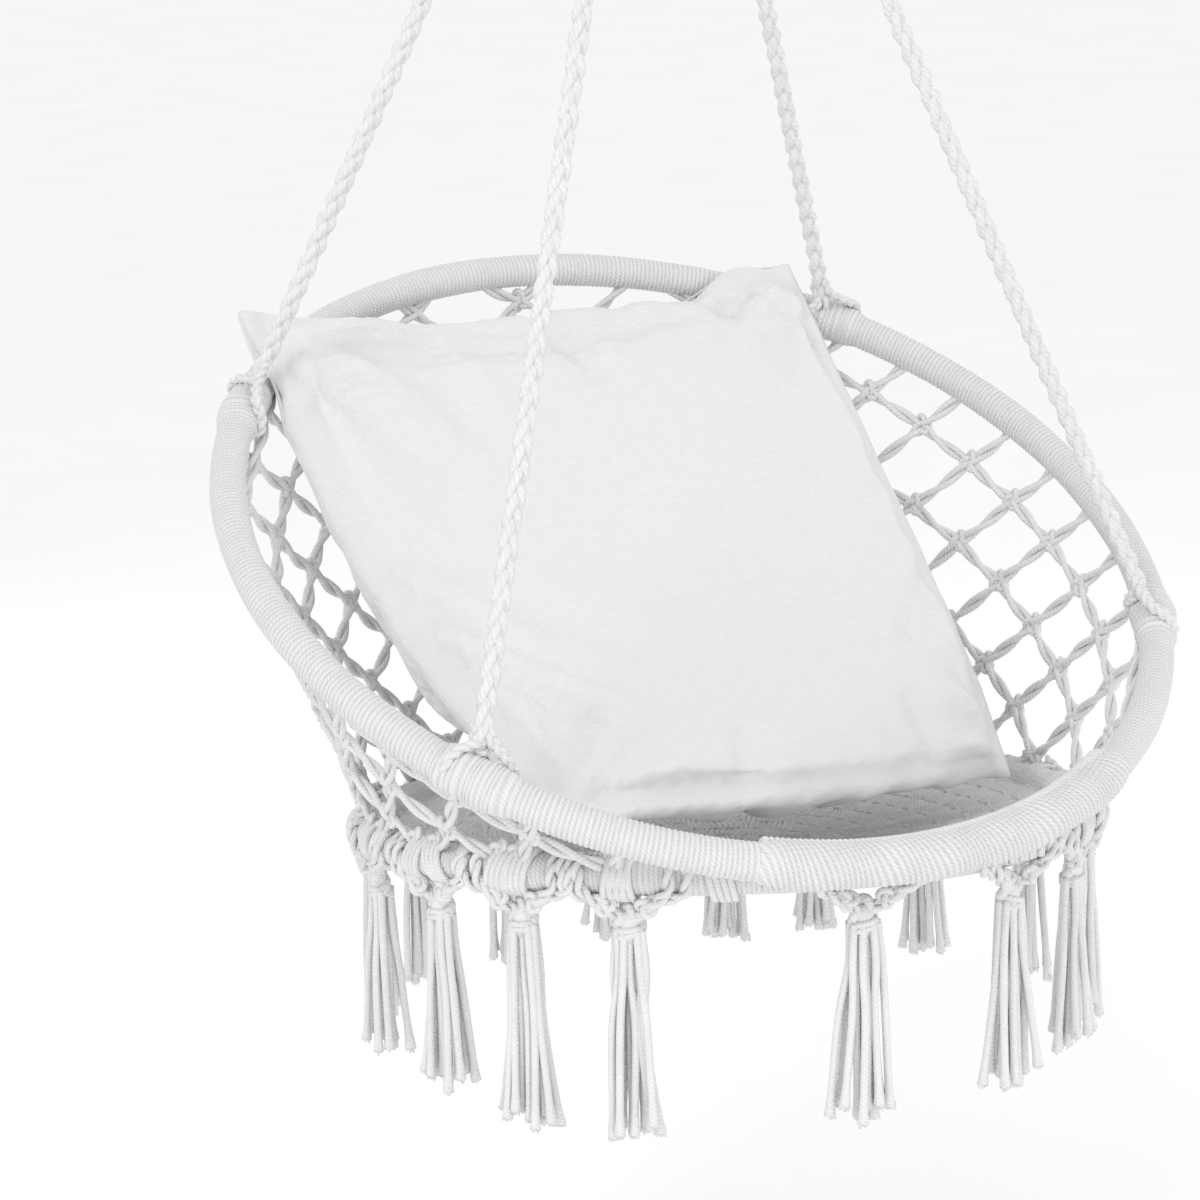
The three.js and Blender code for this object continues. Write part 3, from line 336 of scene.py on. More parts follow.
class Piece:
    """Gathers tubes and shells into one mesh, and keeps how the plies of each cord lie."""

    def __init__(self):
        self.points = []
        self.faces = []
        self.lays = []
        self.count = 0

    def rings(self, rings, closed=False, lays=None):
        """Quads between rings, with the two ends closed unless the last ring meets the first.

        Lays give each ring's corners, one more than its sides: twist round, twist along, and
        the height of wound turns, all counted in whole waves.
        """
        rings = np.asarray(rings, float)
        number, sides = rings.shape[:2]
        self.points.append(rings.reshape(-1, 3))
        rows = np.arange(number if closed else number - 1)
        here = self.count + (rows[:, None] * sides + np.arange(sides)[None])
        onward = self.count + (((rows + 1) % number)[:, None] * sides + np.arange(sides)[None])
        quads = np.stack([here, np.roll(here, -1, 1), np.roll(onward, -1, 1), onward], -1)
        self.faces.extend(quads.reshape(-1, 4).tolist())
        if lays is None:
            lays = np.zeros((len(rows) + 1, sides + 1, 3))
        near, far = lays[: len(rows)], lays[1 : len(rows) + 1]
        corners = np.stack([near[:, :-1], near[:, 1:], far[:, 1:], far[:, :-1]], 2)
        self.lays.append(corners.reshape(-1, 3))
        if not closed:
            self.faces.append((self.count + np.arange(sides))[::-1].tolist())
            self.faces.append((self.count + (number - 1) * sides + np.arange(sides)).tolist())
            self.lays.append(np.zeros((2 * sides, 3)))
        self.count += number * sides

    def cord(
        self, points, radius, sides=8, closed=False, plies=0, lay=14.0, depth=0.0, flat=1.0
    ):
        """A cord along points, closed into a ring or capped at both ends."""
        points = np.asarray(points, float)
        ends = np.vstack([points, points[:1]]) if closed else points
        lays = np.zeros((len(ends), sides + 1, 3))
        if plies:
            waves = plies * run_along(ends) / lay
            if closed:
                waves *= round(waves[-1]) / waves[-1]
            lays[..., 0] = plies * np.arange(sides + 1)[None] / sides
            lays[..., 1] = waves[:, None]
        rings = tube(points, radius, sides, closed, plies, lay, depth, flat)
        self.rings(rings, closed, lays)

    def make(self, name, material, slot="", nodes=(), body="chair", origin=chair_origin):
        """The gathered mesh as one object, in metres, which rides on a body.

        It takes its finish from the material; the slot is not used. It stands for the solids that
        the nodes name.
        """
        mesh = bpy.data.meshes.new(name)
        places = (np.concatenate(self.points) + origin) * MM
        mesh.from_pydata(places.tolist(), [], self.faces)
        lay = mesh.attributes.new("lay", "FLOAT_VECTOR", "CORNER")
        lay.data.foreach_set("vector", np.concatenate(self.lays).ravel())
        mesh.polygons.foreach_set("use_smooth", [True] * len(mesh.polygons))
        mesh.materials.append(material)
        piece = placed(name, mesh)
        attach(piece, body)
        if nodes:
            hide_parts(*nodes)
        return piece


def curve_through(points, steps):
    """A smooth line through given points, with equal steps."""
    points = np.asarray(points, float)
    ends = np.vstack([2 * points[0] - points[1], points, 2 * points[-1] - points[-2]])
    line = []
    for a, b, c, d in zip(ends, ends[1:], ends[2:], ends[3:]):
        for t in np.linspace(0, 1, 12, endpoint=False):
            bend = (2 * a - 5 * b + 4 * c - d) * t**2 + (3 * b - a - 3 * c + d) * t**3
            line.append(0.5 * (2 * b + (c - a) * t + bend))
    line.append(points[-1])
    return even(np.array(line), steps)


def even(line, steps):
    """The same line with equal steps."""
    run = run_along(line)
    marks = np.linspace(0, run[-1], steps + 1)
    return np.stack([np.interp(marks, run, line[:, k]) for k in range(3)], -1)


# Shader maths
class Value:
    """A socket whose operators add Math nodes."""

    def __init__(self, shade, socket):
        self.shade = shade
        self.socket = socket

    def _math(self, operation, *terms):
        return self.shade.node("ShaderNodeMath", {"operation": operation}, *terms)

    def __add__(self, other):
        return self._math("ADD", self, other)

    def __radd__(self, other):
        return self._math("ADD", other, self)

    def __sub__(self, other):
        return self._math("SUBTRACT", self, other)

    def __rsub__(self, other):
        return self._math("SUBTRACT", other, self)

    def __mul__(self, other):
        return self._math("MULTIPLY", self, other)

    def __rmul__(self, other):
        return self._math("MULTIPLY", other, self)

    def sine(self):
        return self._math("SINE", self)

    def clamped(self):
        return self.shade.node("ShaderNodeClamp", {}, self)


class Shade:
    """One material: its nodes, and the surface that they feed."""

    def __init__(self, name, **constants):
        self.material = bpy.data.materials.new(name)
        self.material.use_nodes = True
        self.nodes = self.material.node_tree.nodes
        self.links = self.material.node_tree.links
        self.surface = self.nodes["Principled BSDF"]
        for socket, value in constants.items():
            self.surface.inputs[socket.replace("_", " ")].default_value = value

    def node(self, kind, settings, *inputs, out=0, **named):
        """Adds a node, its settings first, then the values or links of its sockets."""
        node = self.nodes.new(kind)
        for key, value in settings.items():
            setattr(node, key, value)
        sockets = list(enumerate(inputs)) + [(k.replace("_", " "), v) for k, v in named.items()]
        for key, value in sockets:
            if value is not None:
                self.feed(node.inputs[key], value)
        return Value(self, node.outputs[out])

    def feed(self, socket, value):
        """Links a value to a socket, or sets a constant on it."""
        if isinstance(value, Value):
            self.links.new(value.socket, socket)
        else:
            socket.default_value = value

    def set(self, **inputs):
        """Feeds the surface's own sockets and gives the finished material."""
        for name, value in inputs.items():
            self.feed(self.surface.inputs[name.replace("_", " ")], value)
        return self.material

    def places(self, stretch=(1, 1, 1)):
        """The object's own coordinates, which are metres in the part's frame."""
        spot = self.node("ShaderNodeTexCoord", {}, out=3)
        return self.node("ShaderNodeVectorMath", {"operation": "MULTIPLY"}, spot, stretch)

    def noise(self, places, scale, detail=3.0, rough=0.55):
        return self.node(
            "ShaderNodeTexNoise", {}, Vector=places, Scale=scale, Detail=detail, Roughness=rough
        )

    def bump(self, height, strength, distance):
        return self.node(
            "ShaderNodeBump", {}, Strength=strength, Distance=distance, Height=height
        )

    def parts(self, vector):
        """The three numbers of a vector."""
        first = self.node("ShaderNodeSeparateXYZ", {}, vector)
        return [Value(self, socket) for socket in first.socket.node.outputs]

    def mix(self, factor, low, high):
        """Between two colours, which are the node's seventh and eighth sockets."""
        low, high = ((*tint, 1) if isinstance(tint, tuple) else tint for tint in (low, high))
        between = [None] * 5
        settings = {"data_type": "RGBA"}
        return self.node("ShaderNodeMix", settings, factor, *between, low, high, out=2)


# Materials
def cotton(name, tint, shade, fuzz=0.35):
    """Soft twisted cotton: its plies, fine fibres, slightly uneven colour, painted shade in the
    grooves between plies and between wound turns, and a dull sheen.
    """
    cotton = Shade(name, Sheen_Weight=0.25, Sheen_Roughness=0.5, Specular_IOR_Level=0.25)
    lay = cotton.node("ShaderNodeAttribute", {"attribute_name": "lay"}, out=1)
    twist, twist_along, wound = cotton.parts(lay)
    whole = 2 * math.pi
    ply = ((twist + twist_along) * whole).sine() * 0.5 + 0.5
    crown = (wound * whole + math.pi / 2).sine() * 0.5 + 0.5
    places = cotton.places()
    patches = cotton.noise(places, 38, 4)
    fibres = cotton.noise(places, 1900, 2, 0.7)
    colour = cotton.mix((patches * 1.4 - 0.3).clamped(), tint, shade)
    # Painted shade: the colour darkens in the grooves between plies and between wound turns; the
    # fibre noise adds real uneven tone.
    groove_shade_and_fibre_tone = (1 - ply) * 0.3 + (1 - crown) * 0.6 + fibres * 0.3
    colour = cotton.mix(groove_shade_and_fibre_tone.clamped(), colour, tuple(0.84 * c for c in shade))
    return cotton.set(
        Base_Color=colour,
        Roughness=0.82 + patches * 0.12,
        Normal=cotton.bump(ply * 0.75 + crown * 0.5 + fibres * fuzz, 0.75, 0.0007),
    )


def woven_cloth(name, tint, shade):
    """Plain weave of slubbed yarn, with faint creases."""
    cloth = Shade(name, Sheen_Weight=0.2, Sheen_Roughness=0.6, Specular_IOR_Level=0.2)
    places = cloth.places()
    warp, weft = [
        cloth.node(
            "ShaderNodeTexWave",
            {"bands_direction": way},
            Vector=places,
            Scale=150.0,
            Distortion=0.7,
            Detail=1.0,
            Detail_Scale=2.0,
            out=1,
        )
        for way in "XZ"
    ]
    slubs = cloth.noise(cloth.places((1, 1, 2.5)), 130, 3)
    creases = cloth.noise(places, 16, 5, 0.62)
    weave = warp * 0.5 + weft * 0.5
    tone = cloth.mix((slubs * 0.7 + weave * 0.3 - 0.1).clamped(), shade, tint)
    height = weave * 0.35 + slubs * 0.4 + creases * 2.2
    return cloth.set(
        Base_Color=tone,
        Roughness=0.86 + weave * 0.08,
        Normal=cloth.bump(height, 0.45, 0.0012),
    )


def plated_steel(name, tint, roughness, grain):
    """Zinc or polished steel with fine scratches and dull patches."""
    metal = Shade(name, Metallic=1.0)
    places = metal.places()
    dull = metal.noise(places, 90, 4)
    scratches = metal.noise(metal.places((1, 1, 9)), grain, 3, 0.7)
    colour = metal.mix((dull * 1.4 - 0.2).clamped(), tint, tuple(0.82 * c for c in tint))
    return metal.set(
        Base_Color=colour,
        Roughness=roughness + dull * 0.12 + scratches * 0.08,
        Normal=metal.bump(scratches, 0.12, 0.0002),
    )


rope_cotton = cotton("rope_cotton", (0.79, 0.79, 0.786), (0.69, 0.69, 0.685))
wrap_cotton = cotton("wrap_cotton", (0.79, 0.79, 0.786), (0.7, 0.7, 0.695), 0.3)
# Painted light: the knots' cotton is a little lighter than the rope's, to offset the shade on the
# net, seat and front cords.
knot_cotton = cotton("knot_cotton", (0.82, 0.82, 0.816), (0.71, 0.71, 0.705))
tassel_cotton = cotton("tassel_cotton", (0.81, 0.81, 0.806), (0.71, 0.71, 0.705), 0.45)
cushion_cloth = woven_cloth("cushion_cloth", (0.74, 0.74, 0.742), (0.65, 0.65, 0.655))
seam_thread = cotton("seam_thread", (0.74, 0.74, 0.742), (0.6, 0.6, 0.605), 0.2)
zinc_plate = plated_steel("zinc_plate", (0.76, 0.77, 0.78), 0.22, 700)
polished_plate = plated_steel("polished_plate", (0.8, 0.78, 0.75), 0.12, 1100)
tube_steel = plated_steel("tube_steel", (0.5, 0.5, 0.51), 0.35, 400)


# Camera, at the photograph's place
focal_pixels = 3005.75
picture_pixels = 1200
sensor_width = 36.0
view_azimuth = math.radians(-32.54)
view_elevation = math.radians(15.88)
view_distance = 2472.2
view_right = -71.86
view_height = 188.7
view_roll = math.radians(-1.85)
view_yaw = math.radians(-0.63)


def make_camera():
    """Looks from where the photograph was taken, with its lens, roll and turn to one side."""
    flat = math.cos(view_elevation)
    back = np.array(
        [
            math.sin(view_azimuth) * flat,
            -math.cos(view_azimuth) * flat,
            math.sin(view_elevation),
        ]
    )
    right = np.array([math.cos(view_azimuth), math.sin(view_azimuth), 0])
    rise = unit(np.cross(back, right))
    place = back * view_distance + right * view_right + np.array([0, 0, view_height])
    side = right * math.cos(view_yaw) + back * math.sin(view_yaw)
    behind = back * math.cos(view_yaw) - right * math.sin(view_yaw)
    across = side * math.cos(view_roll) + rise * math.sin(view_roll)
    above = rise * math.cos(view_roll) - side * math.sin(view_roll)
    data = bpy.data.cameras.new("view")
    data.sensor_width = sensor_width
    data.lens = focal_pixels * sensor_width / picture_pixels
    data.clip_end = 100
    pose = np.eye(4)
    pose[:3, :3] = np.stack([across, above, behind], -1)
    pose[:3, 3] = (place + chair_origin) * MM
    camera = placed("view", data)
    camera.matrix_world = Matrix(pose.tolist())
    bpy.context.scene.camera = camera


# Ropes
def rope_line(name):
    """Centre line of a rope from the crown's neck to its binding, in the chair's frame."""
    hold = back_hoop.at(rope_angles[name])
    apex = np.array([0, apex_behind_seat, apex_above_seat])
    half = rope_spacing / 2
    sides = np.array([math.copysign(half, hold[0]), math.copysign(half, hold[1] - apex[1]), 0])
    start = apex + sides - np.array([0, 0, rope_gather + seat_gap])
    share = (start[2] - rope_bend - hold[2]) / (apex[2] - hold[2])
    taut = hold + (apex - hold) * share
    way = unit(apex - hold)
    straight_end = start - np.array([0, 0, rope_straight])
    a, b = straight_end, straight_end - np.array([0, 0, rope_straight])
    c = taut + way * rope_bend / 2
    line = [start]
    for t in np.linspace(0, 1, 24):
        line.append(
            a * (1 - t) ** 3 + 3 * b * t * (1 - t) ** 2 + 3 * c * t * t * (1 - t) + taut * t**3
        )
    line.append(hold + way * binding_reach)
    return even(np.array(line), 240)


def braid(piece, line, radius, pitch, sides):
    """Three strands plaited round a line, each of four twisted cords."""
    across, through = directions_along(line)
    run = run_along(line)
    for k in range(3):
        phase = 2 * math.pi * (run / pitch + k / 3)
        strand = line + (
            across * (0.48 * radius * np.sin(phase))[:, None]
            + through * (0.27 * radius * np.sin(2 * phase))[:, None]
        )
        piece.cord(strand, 0.56 * radius, sides=sides, plies=4, lay=pitch * 0.42, depth=0.1)


def make_ropes():
    """Four braided ropes."""
    for name in rope_angles:
        line = rope_line(name)
        piece = Piece()
        braid(piece, line, rope_radius, braid_length, sides=10)
        rope = piece.make(f"braided_rope_{name}", rope_cotton, "white_cord", [f"rope_{name}"])
        length = float(run_along(line)[-1])


# Wrapped hoops
def wound_lays(turns, drift, sides, slant):
    """How the plies lie on cord wound round a hoop, for each ring and side."""
    share = np.arange(sides + 1)[None] / sides
    phase = turns[:, None] + slant * share + drift[:, None]
    twist = wrap_twists_round * share + 0 * phase
    return np.stack([twist, wrap_twist_step * phase, phase + 0.5], -1)


def wound_crown(phase, cord, roundness):
    """How far the surface of wound turns lies below their crowns, which come once a phase."""
    across = 2 * (phase % 1) - 1
    return cord * (np.sqrt(1 - roundness * across**2) - 1)


def make_wrap(name, hoop, nodes):
    """Cord wound in one unbroken run of close turns, which sink a little into each other."""
    turns = round(2 * math.pi * hoop.radius / (2 * wrap_cord_radius * 0.97))
    steps, sides = turns * 5, 20
    wave = random.Random(name)
    uneven = [wave.uniform(0, 2 * math.pi) for _ in range(4)]
    a = np.arange(steps) * 2 * math.pi / steps
    w = np.arange(sides) * 2 * math.pi / sides
    phase = turns * a[:, None] / (2 * math.pi) + w[None] / (2 * math.pi)
    drift = 0.16 * np.sin(31 * a + uneven[0]) + 0.1 * np.sin(83 * a + uneven[1])
    crown = wound_crown(phase + drift[:, None], wrap_cord_radius, 0.86)
    size = wrap_radius + crown + 0.25 * np.sin(17 * a + uneven[2])[:, None] - 0.25
    out = np.stack([np.sin(a), -np.cos(a), 0 * a], -1) @ hoop.turn.T
    centre = hoop.middle + hoop.radius * out
    lean = out[:, None] * np.cos(w)[None, :, None] + hoop.rise * np.sin(w)[None, :, None]
    piece = Piece()
    lays = wound_lays(turns * np.linspace(0, 1, steps + 1), drift[[*range(steps), 0]], sides, 1)
    piece.rings(centre[:, None] + lean * size[..., None], True, lays)
    piece.make(name, wrap_cotton, "white_cord", nodes)


def cover_back_hoop(piece, angles, size, w, lays):
    """A wound cover: its thickness is given for each angle along and round the back hoop."""
    rings = []
    for angle, thick in zip(angles, size):
        out = back_hoop.out(angle)
        lean = out[None] * np.cos(w)[:, None] + back_hoop.rise[None] * np.sin(w)[:, None]
        rings.append(back_hoop.at(angle) + lean * thick[:, None])
    piece.rings(rings, lays=lays)


def make_bindings():
    """The same fine cord wound thicker round the back hoop, over the ends of each rope."""
    for name, angle in rope_angles.items():
        piece = Piece()
        wave = random.Random(name)
        turns = round(2 * binding_half_width / (2 * wrap_cord_radius))
        steps, sides = turns * 6, 28
        share = np.linspace(-1, 1, steps)
        w = np.arange(sides) * 2 * math.pi / sides
        drift = 0.4 * np.sin(5 * share + wave.uniform(0, 6)) + 0.25 * np.sin(13 * share)
        phase = turns * (share[:, None] + 1) / 2 + w[None] / (2 * math.pi) + drift[:, None]
        crown = wound_crown(phase, wrap_cord_radius, 0.88)
        bulge = np.clip(1 - np.abs(share) ** 4, 0, 1)[:, None] * (
            1 + 0.16 * np.sin(2 * w[None] + 4 * share[:, None]) + 0.1 * np.sin(7 * share)[:, None]
        )
        size = wrap_radius - 0.6 + binding_bulge * bulge + crown
        angles = [angle + math.degrees(x * binding_half_width / back_hoop_radius) for x in share]
        lays = wound_lays(turns * (share + 1) / 2, drift, sides, 1)
        cover_back_hoop(piece, angles, size, w, lays)
        make_rope_foot(piece, name, wave)
        piece.make(f"bound_cords_{name}", wrap_cotton, "bound_cord", [f"binding_{name}"])


def make_rope_foot(piece, name, wave):
    """The rope parts in two legs that straddle the hoop and go in under the wound cord."""
    angle = rope_angles[name]
    line = rope_line(name)
    foot, way = line[-1], unit(line[-1] - line[-8])
    base = math.degrees(math.atan2(-way @ back_hoop.rise, -way @ back_hoop.out(angle)))
    for side in (-1, 1):
        spread = 21 + wave.uniform(-2, 3)
        end = angle + math.degrees(side * spread / back_hoop_radius)
        line = [
            foot - way * 22 + back_hoop.along(angle) * side * 1.5,
            foot - way * 9 + back_hoop.along(angle) * side * 6.5,
            back_hoop.at(angle + side * 1.7, wrap_radius + 9.5, base + side * 14),
            back_hoop.at(angle + (end - angle) * 0.86, wrap_radius + 6.0, base + side * 40),
            back_hoop.at(end, wrap_radius + 3.0, base + side * 75),
            back_hoop.at(end, wrap_radius - 1.0, base + side * 100),
        ]
        braid(piece, curve_through(line, 70), 5.4, 26.0, sides=8)
    knot = foot + way * 2 + back_hoop.along(angle) * wave.uniform(-3, 3)
    pulled_knot(piece, knot, way, back_hoop.rise, 2.6, 3.0, wave)


def solid_box(name):
    """The two corners of a solid's box."""
    return [np.array(corner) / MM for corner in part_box(name)]


def make_crown():
    """Two folds of rope through the ring, the neck of gathered cords, and the cord wound on it."""
    neck_foot = solid_box("rope_crown")[0][2]
    neck_top = neck_foot + neck_length
    leg, ring_foot = fold_half_width, solid_box("crown_ring")[0][2] + ring_wire_radius
    piece = Piece()
    for y in (-folds_apart / 2, folds_apart / 2):
        arc = [
            [leg * math.cos(t), y, ring_foot + leg * math.sin(t)]
            for t in np.linspace(0, math.pi, 17)
        ]
        line = [[leg * 0.8, y, neck_top - 12], [leg, y, neck_top + 2], *arc]
        line += [[-leg, y, neck_top + 2], [-leg * 0.8, y, neck_top - 12]]
        braid(piece, even(np.array(line), 90), 4.9, 26.0, sides=8)
    middle = (neck_top + neck_foot) / 2
    heights = [neck_top - 3, neck_top - 13, middle, neck_foot + 8, neck_foot]
    radii = [11.0, 16.4, 16.6, 16.2, 13.0]
    for t in once_round(neck_cords):
        out = np.array([math.cos(t), math.sin(t), 0])
        line = [out * r + np.array([0, 0, z]) for r, z in zip(radii, heights)]
        piece.cord(curve_through(line, 14), 2.5, **knot_cord)
    core_heights = (neck_foot + 1, neck_foot + 12, neck_top - 12, neck_top - 2)
    core = [np.array([0, 0, z]) for z in core_heights]
    piece.cord(core, np.array([13.5, 15.5, 15.5, 11.0]), sides=20)
    piece.make("folded_ropes", rope_cotton, "white_cord", ["rope_crown"], origin=kit_origin)
    bound_low, bound_high = (corner[2] for corner in solid_box("crown_binding"))
    cord, away = whipping_cord_radius, whipping_reach
    turns = int((bound_high - bound_low) / (2 * cord))
    rise = 1.94 * cord / (2 * math.pi)
    line = [
        [away * math.cos(t), away * math.sin(t), bound_high - cord - rise * t]
        for t in np.linspace(0, 2 * math.pi * (turns - 1), (turns - 1) * 24)
    ]
    piece = Piece()
    piece.cord(line, cord, sides=7, plies=3, lay=8.0)
    away += 1.4
    for side in (0, 2.3):
        turned = np.linspace(0, 1.9, 20)
        heights = np.linspace(bound_low + 6, bound_high - 6, 20)
        lean = [
            [away * math.cos(t + side), away * math.sin(t + side), z]
            for t, z in zip(turned, heights)
        ]
        piece.cord(lean, 1.9, sides=7, plies=3, lay=8.0)
    piece.make("crown_whipping", knot_cotton, "bound_cord", ["crown_binding"], origin=kit_origin)


# Net
def line_height(kind, start, angle):
    """Height of a net line at an angle. Lines of the second kind mirror those of the first."""
    turn = 360 - angle if kind else angle
    return start + net_gentle_fall * min(turn, 180) + net_steep_fall * max(turn - 180, 0)


def wall_place(angle, height):
    """A place on the wall between the hoops, how deep it is, and the wall's whole depth."""
    top, foot = back_hoop.at(angle), seat_hoop.at(angle)
    share = (top[2] - height) / (top[2] - foot[2])
    reach = np.linalg.norm(foot - top)
    return top + (foot - top) * share, share * reach, reach


def stops_on_line(kind, start):
    """Runs of stops along one net line: its ends at the hoops, and the knots between them."""
    fall = net_gentle_fall + net_steep_fall
    angles = np.arange(net_start_angle, 360 - net_start_angle, 0.25)
    runs, run = [], []
    for angle in angles:
        _, depth, reach = wall_place(angle, line_height(kind, start, angle))
        if net_edge < depth < reach - net_edge:
            run.append(angle)
        elif run:
            runs.append(run)
            run = []
    runs.append(run)
    for run in runs:
        if len(run) < 12:
            continue
        stops = [(run[0], False)]
        for number in net_line_numbers:
            other = net_phases[1 - kind] + number * net_line_apart
            apart = other - start if kind == 0 else start - other
            angle = 180 + apart / fall
            if run[0] < angle < run[-1]:
                _, depth, reach = wall_place(angle, line_height(kind, start, angle))
                if net_end < depth < reach - net_end:
                    stops.append((angle, True))
        stops.append((run[-1], False))
        yield sorted(stops)


def twisted_pair(piece, line, cord, lay, start):
    """Two cords laid round each other along a line."""
    across, through = directions_along(line)
    for k in range(2):
        turn = 2 * math.pi * run_along(line) / lay + math.pi * k + start
        shift = across * np.cos(turn)[:, None] + through * np.sin(turn)[:, None]
        piece.cord(line + shift * cord * 0.93, cord, sides=6, plies=3, lay=11.0)


def pulled_knot(piece, middle, down, facing, size, cord, wave):
    """A tight overhand knot of thick cord, drawn longer than wide."""
    side = unit(np.cross(facing, down))
    spin = wave.uniform(-0.3, 0.3)
    turns = once_round(34)
    line = []
    for t in turns:
        x = math.sin(t) + 2 * math.sin(2 * t)
        y = math.cos(t) - 2 * math.cos(2 * t)
        z = -math.sin(3 * t)
        u = x * math.cos(spin) - y * math.sin(spin)
        v = x * math.sin(spin) + y * math.cos(spin)
        line.append(middle + size * (side * u * 0.9 + down * v * 1.15 + facing * z * 0.8))
    piece.cord(np.array(line), cord, closed=True, **knot_cord)


def make_net():
    """Twisted pairs between the stops, a knot where two lines cross, hitches at the foot."""
    wave = random.Random("net")
    piece = Piece()
    for kind in (0, 1):
        for number in net_line_numbers:
            start = net_phases[kind] + number * net_line_apart
            for stops in stops_on_line(kind, start):
                places = [wall_place(a, line_height(kind, start, a)) for a, _ in stops]
                for (begin, _, _), (end, _, _) in zip(places, places[1:]):
                    if np.linalg.norm(end - begin) < 3:
                        continue
                    shift = np.array([wave.uniform(-1.5, 1.5) for _ in range(3)])
                    shift[2] -= 1.5
                    line = curve_through([begin, (begin + end) / 2 + shift, end], 16)
                    twisted_pair(piece, line, net_cord_radius, net_cord_lay, wave.uniform(0, 6))
                for (angle, knotted), (middle, depth, reach) in zip(stops, places):
                    down = unit(seat_hoop.at(angle) - back_hoop.at(angle))
                    facing = unit(np.cross(back_hoop.along(angle), down))
                    if knotted and kind == 0:
                        pulled_knot(piece, middle, down, facing, 2.8, 2.8, wave)
                    elif not knotted and depth > reach - 16:
                        make_hitch(piece, angle, wave)
    panels = [f"net_panel_{i + 1}" for i in range(6)]
    piece.make("knotted_net", knot_cotton, "white_cord", panels)


def make_hitch(piece, angle, wave):
    """A strand's cords hitched round the seat hoop, side by side, with the lump of the hitch."""
    turns = np.linspace(0, 360, 26, endpoint=False)
    lean = wave.uniform(-1.2, 1.2)
    for k in range(4):
        place = angle + math.degrees((k - 1.5) * 4.9 / seat_hoop_radius)
        ring = [
            seat_hoop.at(place + lean * math.sin(math.radians(w)), wrap_radius + 1.9, w)
            for w in turns
        ]
        piece.cord(ring, net_cord_radius, sides=6, closed=True, plies=3, lay=9.0)
    middle = seat_hoop.at(angle, wrap_radius + 4.5, 62)
    pulled_knot(piece, middle, seat_hoop.along(angle), seat_hoop.out(angle), 2.3, 2.6, wave)


# Front: cords of the seat laid close and slanting round the front of the back hoop
def make_front_panel():
    """The slanting cover, and cords from the mat to it and on down to the seat hoop."""
    piece = Piece()
    half, slant = front_cover_half_angle, front_cover_slant
    turns = round(2 * math.radians(half) * back_hoop_radius / front_cover_pitch)
    steps, sides = turns * 7, 36
    share = np.linspace(-1, 1, steps)
    w = np.arange(sides) * 2 * math.pi / sides
    drift = 0.5 * np.sin(9 * share) + 0.3 * np.sin(23 * share + 1)
    phase = turns * (share[:, None] + 1) / 2 + slant * w[None] / (2 * math.pi) + drift[:, None]
    crown = wound_crown(phase, front_cover_cord_radius, 0.9)
    ends = np.clip((1 - np.abs(share)) * 9, 0, 1)[:, None] ** 0.5
    lumps = 0.5 * np.sin(3 * phase / slant + 2.5 * np.cos(w)[None])
    size = wrap_radius - 0.8 + ends * (4.0 + lumps + crown)
    lays = wound_lays(turns * (share + 1) / 2, drift, sides, slant)
    cover_back_hoop(piece, share * half, size, w, lays)
    wave = random.Random("front")
    for k in range(front_cords):
        angle = front_half_angle * (2 * k / (front_cords - 1) - 1)
        foot_angle = seat_hoop.angle_of(back_hoop.at(angle)) * 0.98
        near = foot_angle + wave.uniform(-0.2, 0.2)
        line = [
            mat_place(seat_hoop_radius - wrap_radius - 14, near, 0.4),
            mat_place(seat_hoop_radius - wrap_radius + 4, near, 2.2),
            back_hoop.at(angle, wrap_radius + 3.4, 172),
            back_hoop.at(angle, wrap_radius + 2.9, 146),
            back_hoop.at(angle, wrap_radius + 0.4, 120),
        ]
        piece.cord(curve_through(line, 14), 2.6, **mat_cord)
        line = [
            back_hoop.at(angle, wrap_radius + 1.5, 195),
            back_hoop.at(angle, wrap_radius + 2.4, 225 + 8 * math.sin(k)),
            seat_hoop.at(foot_angle, wrap_radius + 3.2, 95 + wave.uniform(-6, 6)),
            seat_hoop.at(foot_angle, wrap_radius + 2.2, 35),
            seat_hoop.at(foot_angle + wave.uniform(-0.6, 0.6), wrap_radius + 1.8, -30),
        ]
        piece.cord(curve_through(line, 16), 2.3, sides=6, plies=2, lay=9.0)
    piece.make("front_cords", knot_cotton, "bound_cord", ["front_panel"])


# Seat: rows of long flat knots in a shallow hammock
def mat_height(share, angle):
    """The mat sags in the middle and climbs to the back hoop's tube at the front."""
    turned = (angle + 180) % 360 - 180
    near = math.exp(-((turned / 40) ** 4))
    climb = max(0.0, (share - 0.45) / 0.55) ** 1.4
    return mat_front_climb * near * climb - mat_sag * max(0.0, 1 - share * share) ** 1.3


def mat_place(radius, angle, lift=0.0):
    """A place on the mat, or lifted off it, in the chair's frame."""
    a = math.radians(angle)
    height = mat_height(radius / (seat_hoop_radius - wrap_radius), angle) + lift
    return seat_hoop.turn @ np.array([radius * math.sin(a), -radius * math.cos(a), height])


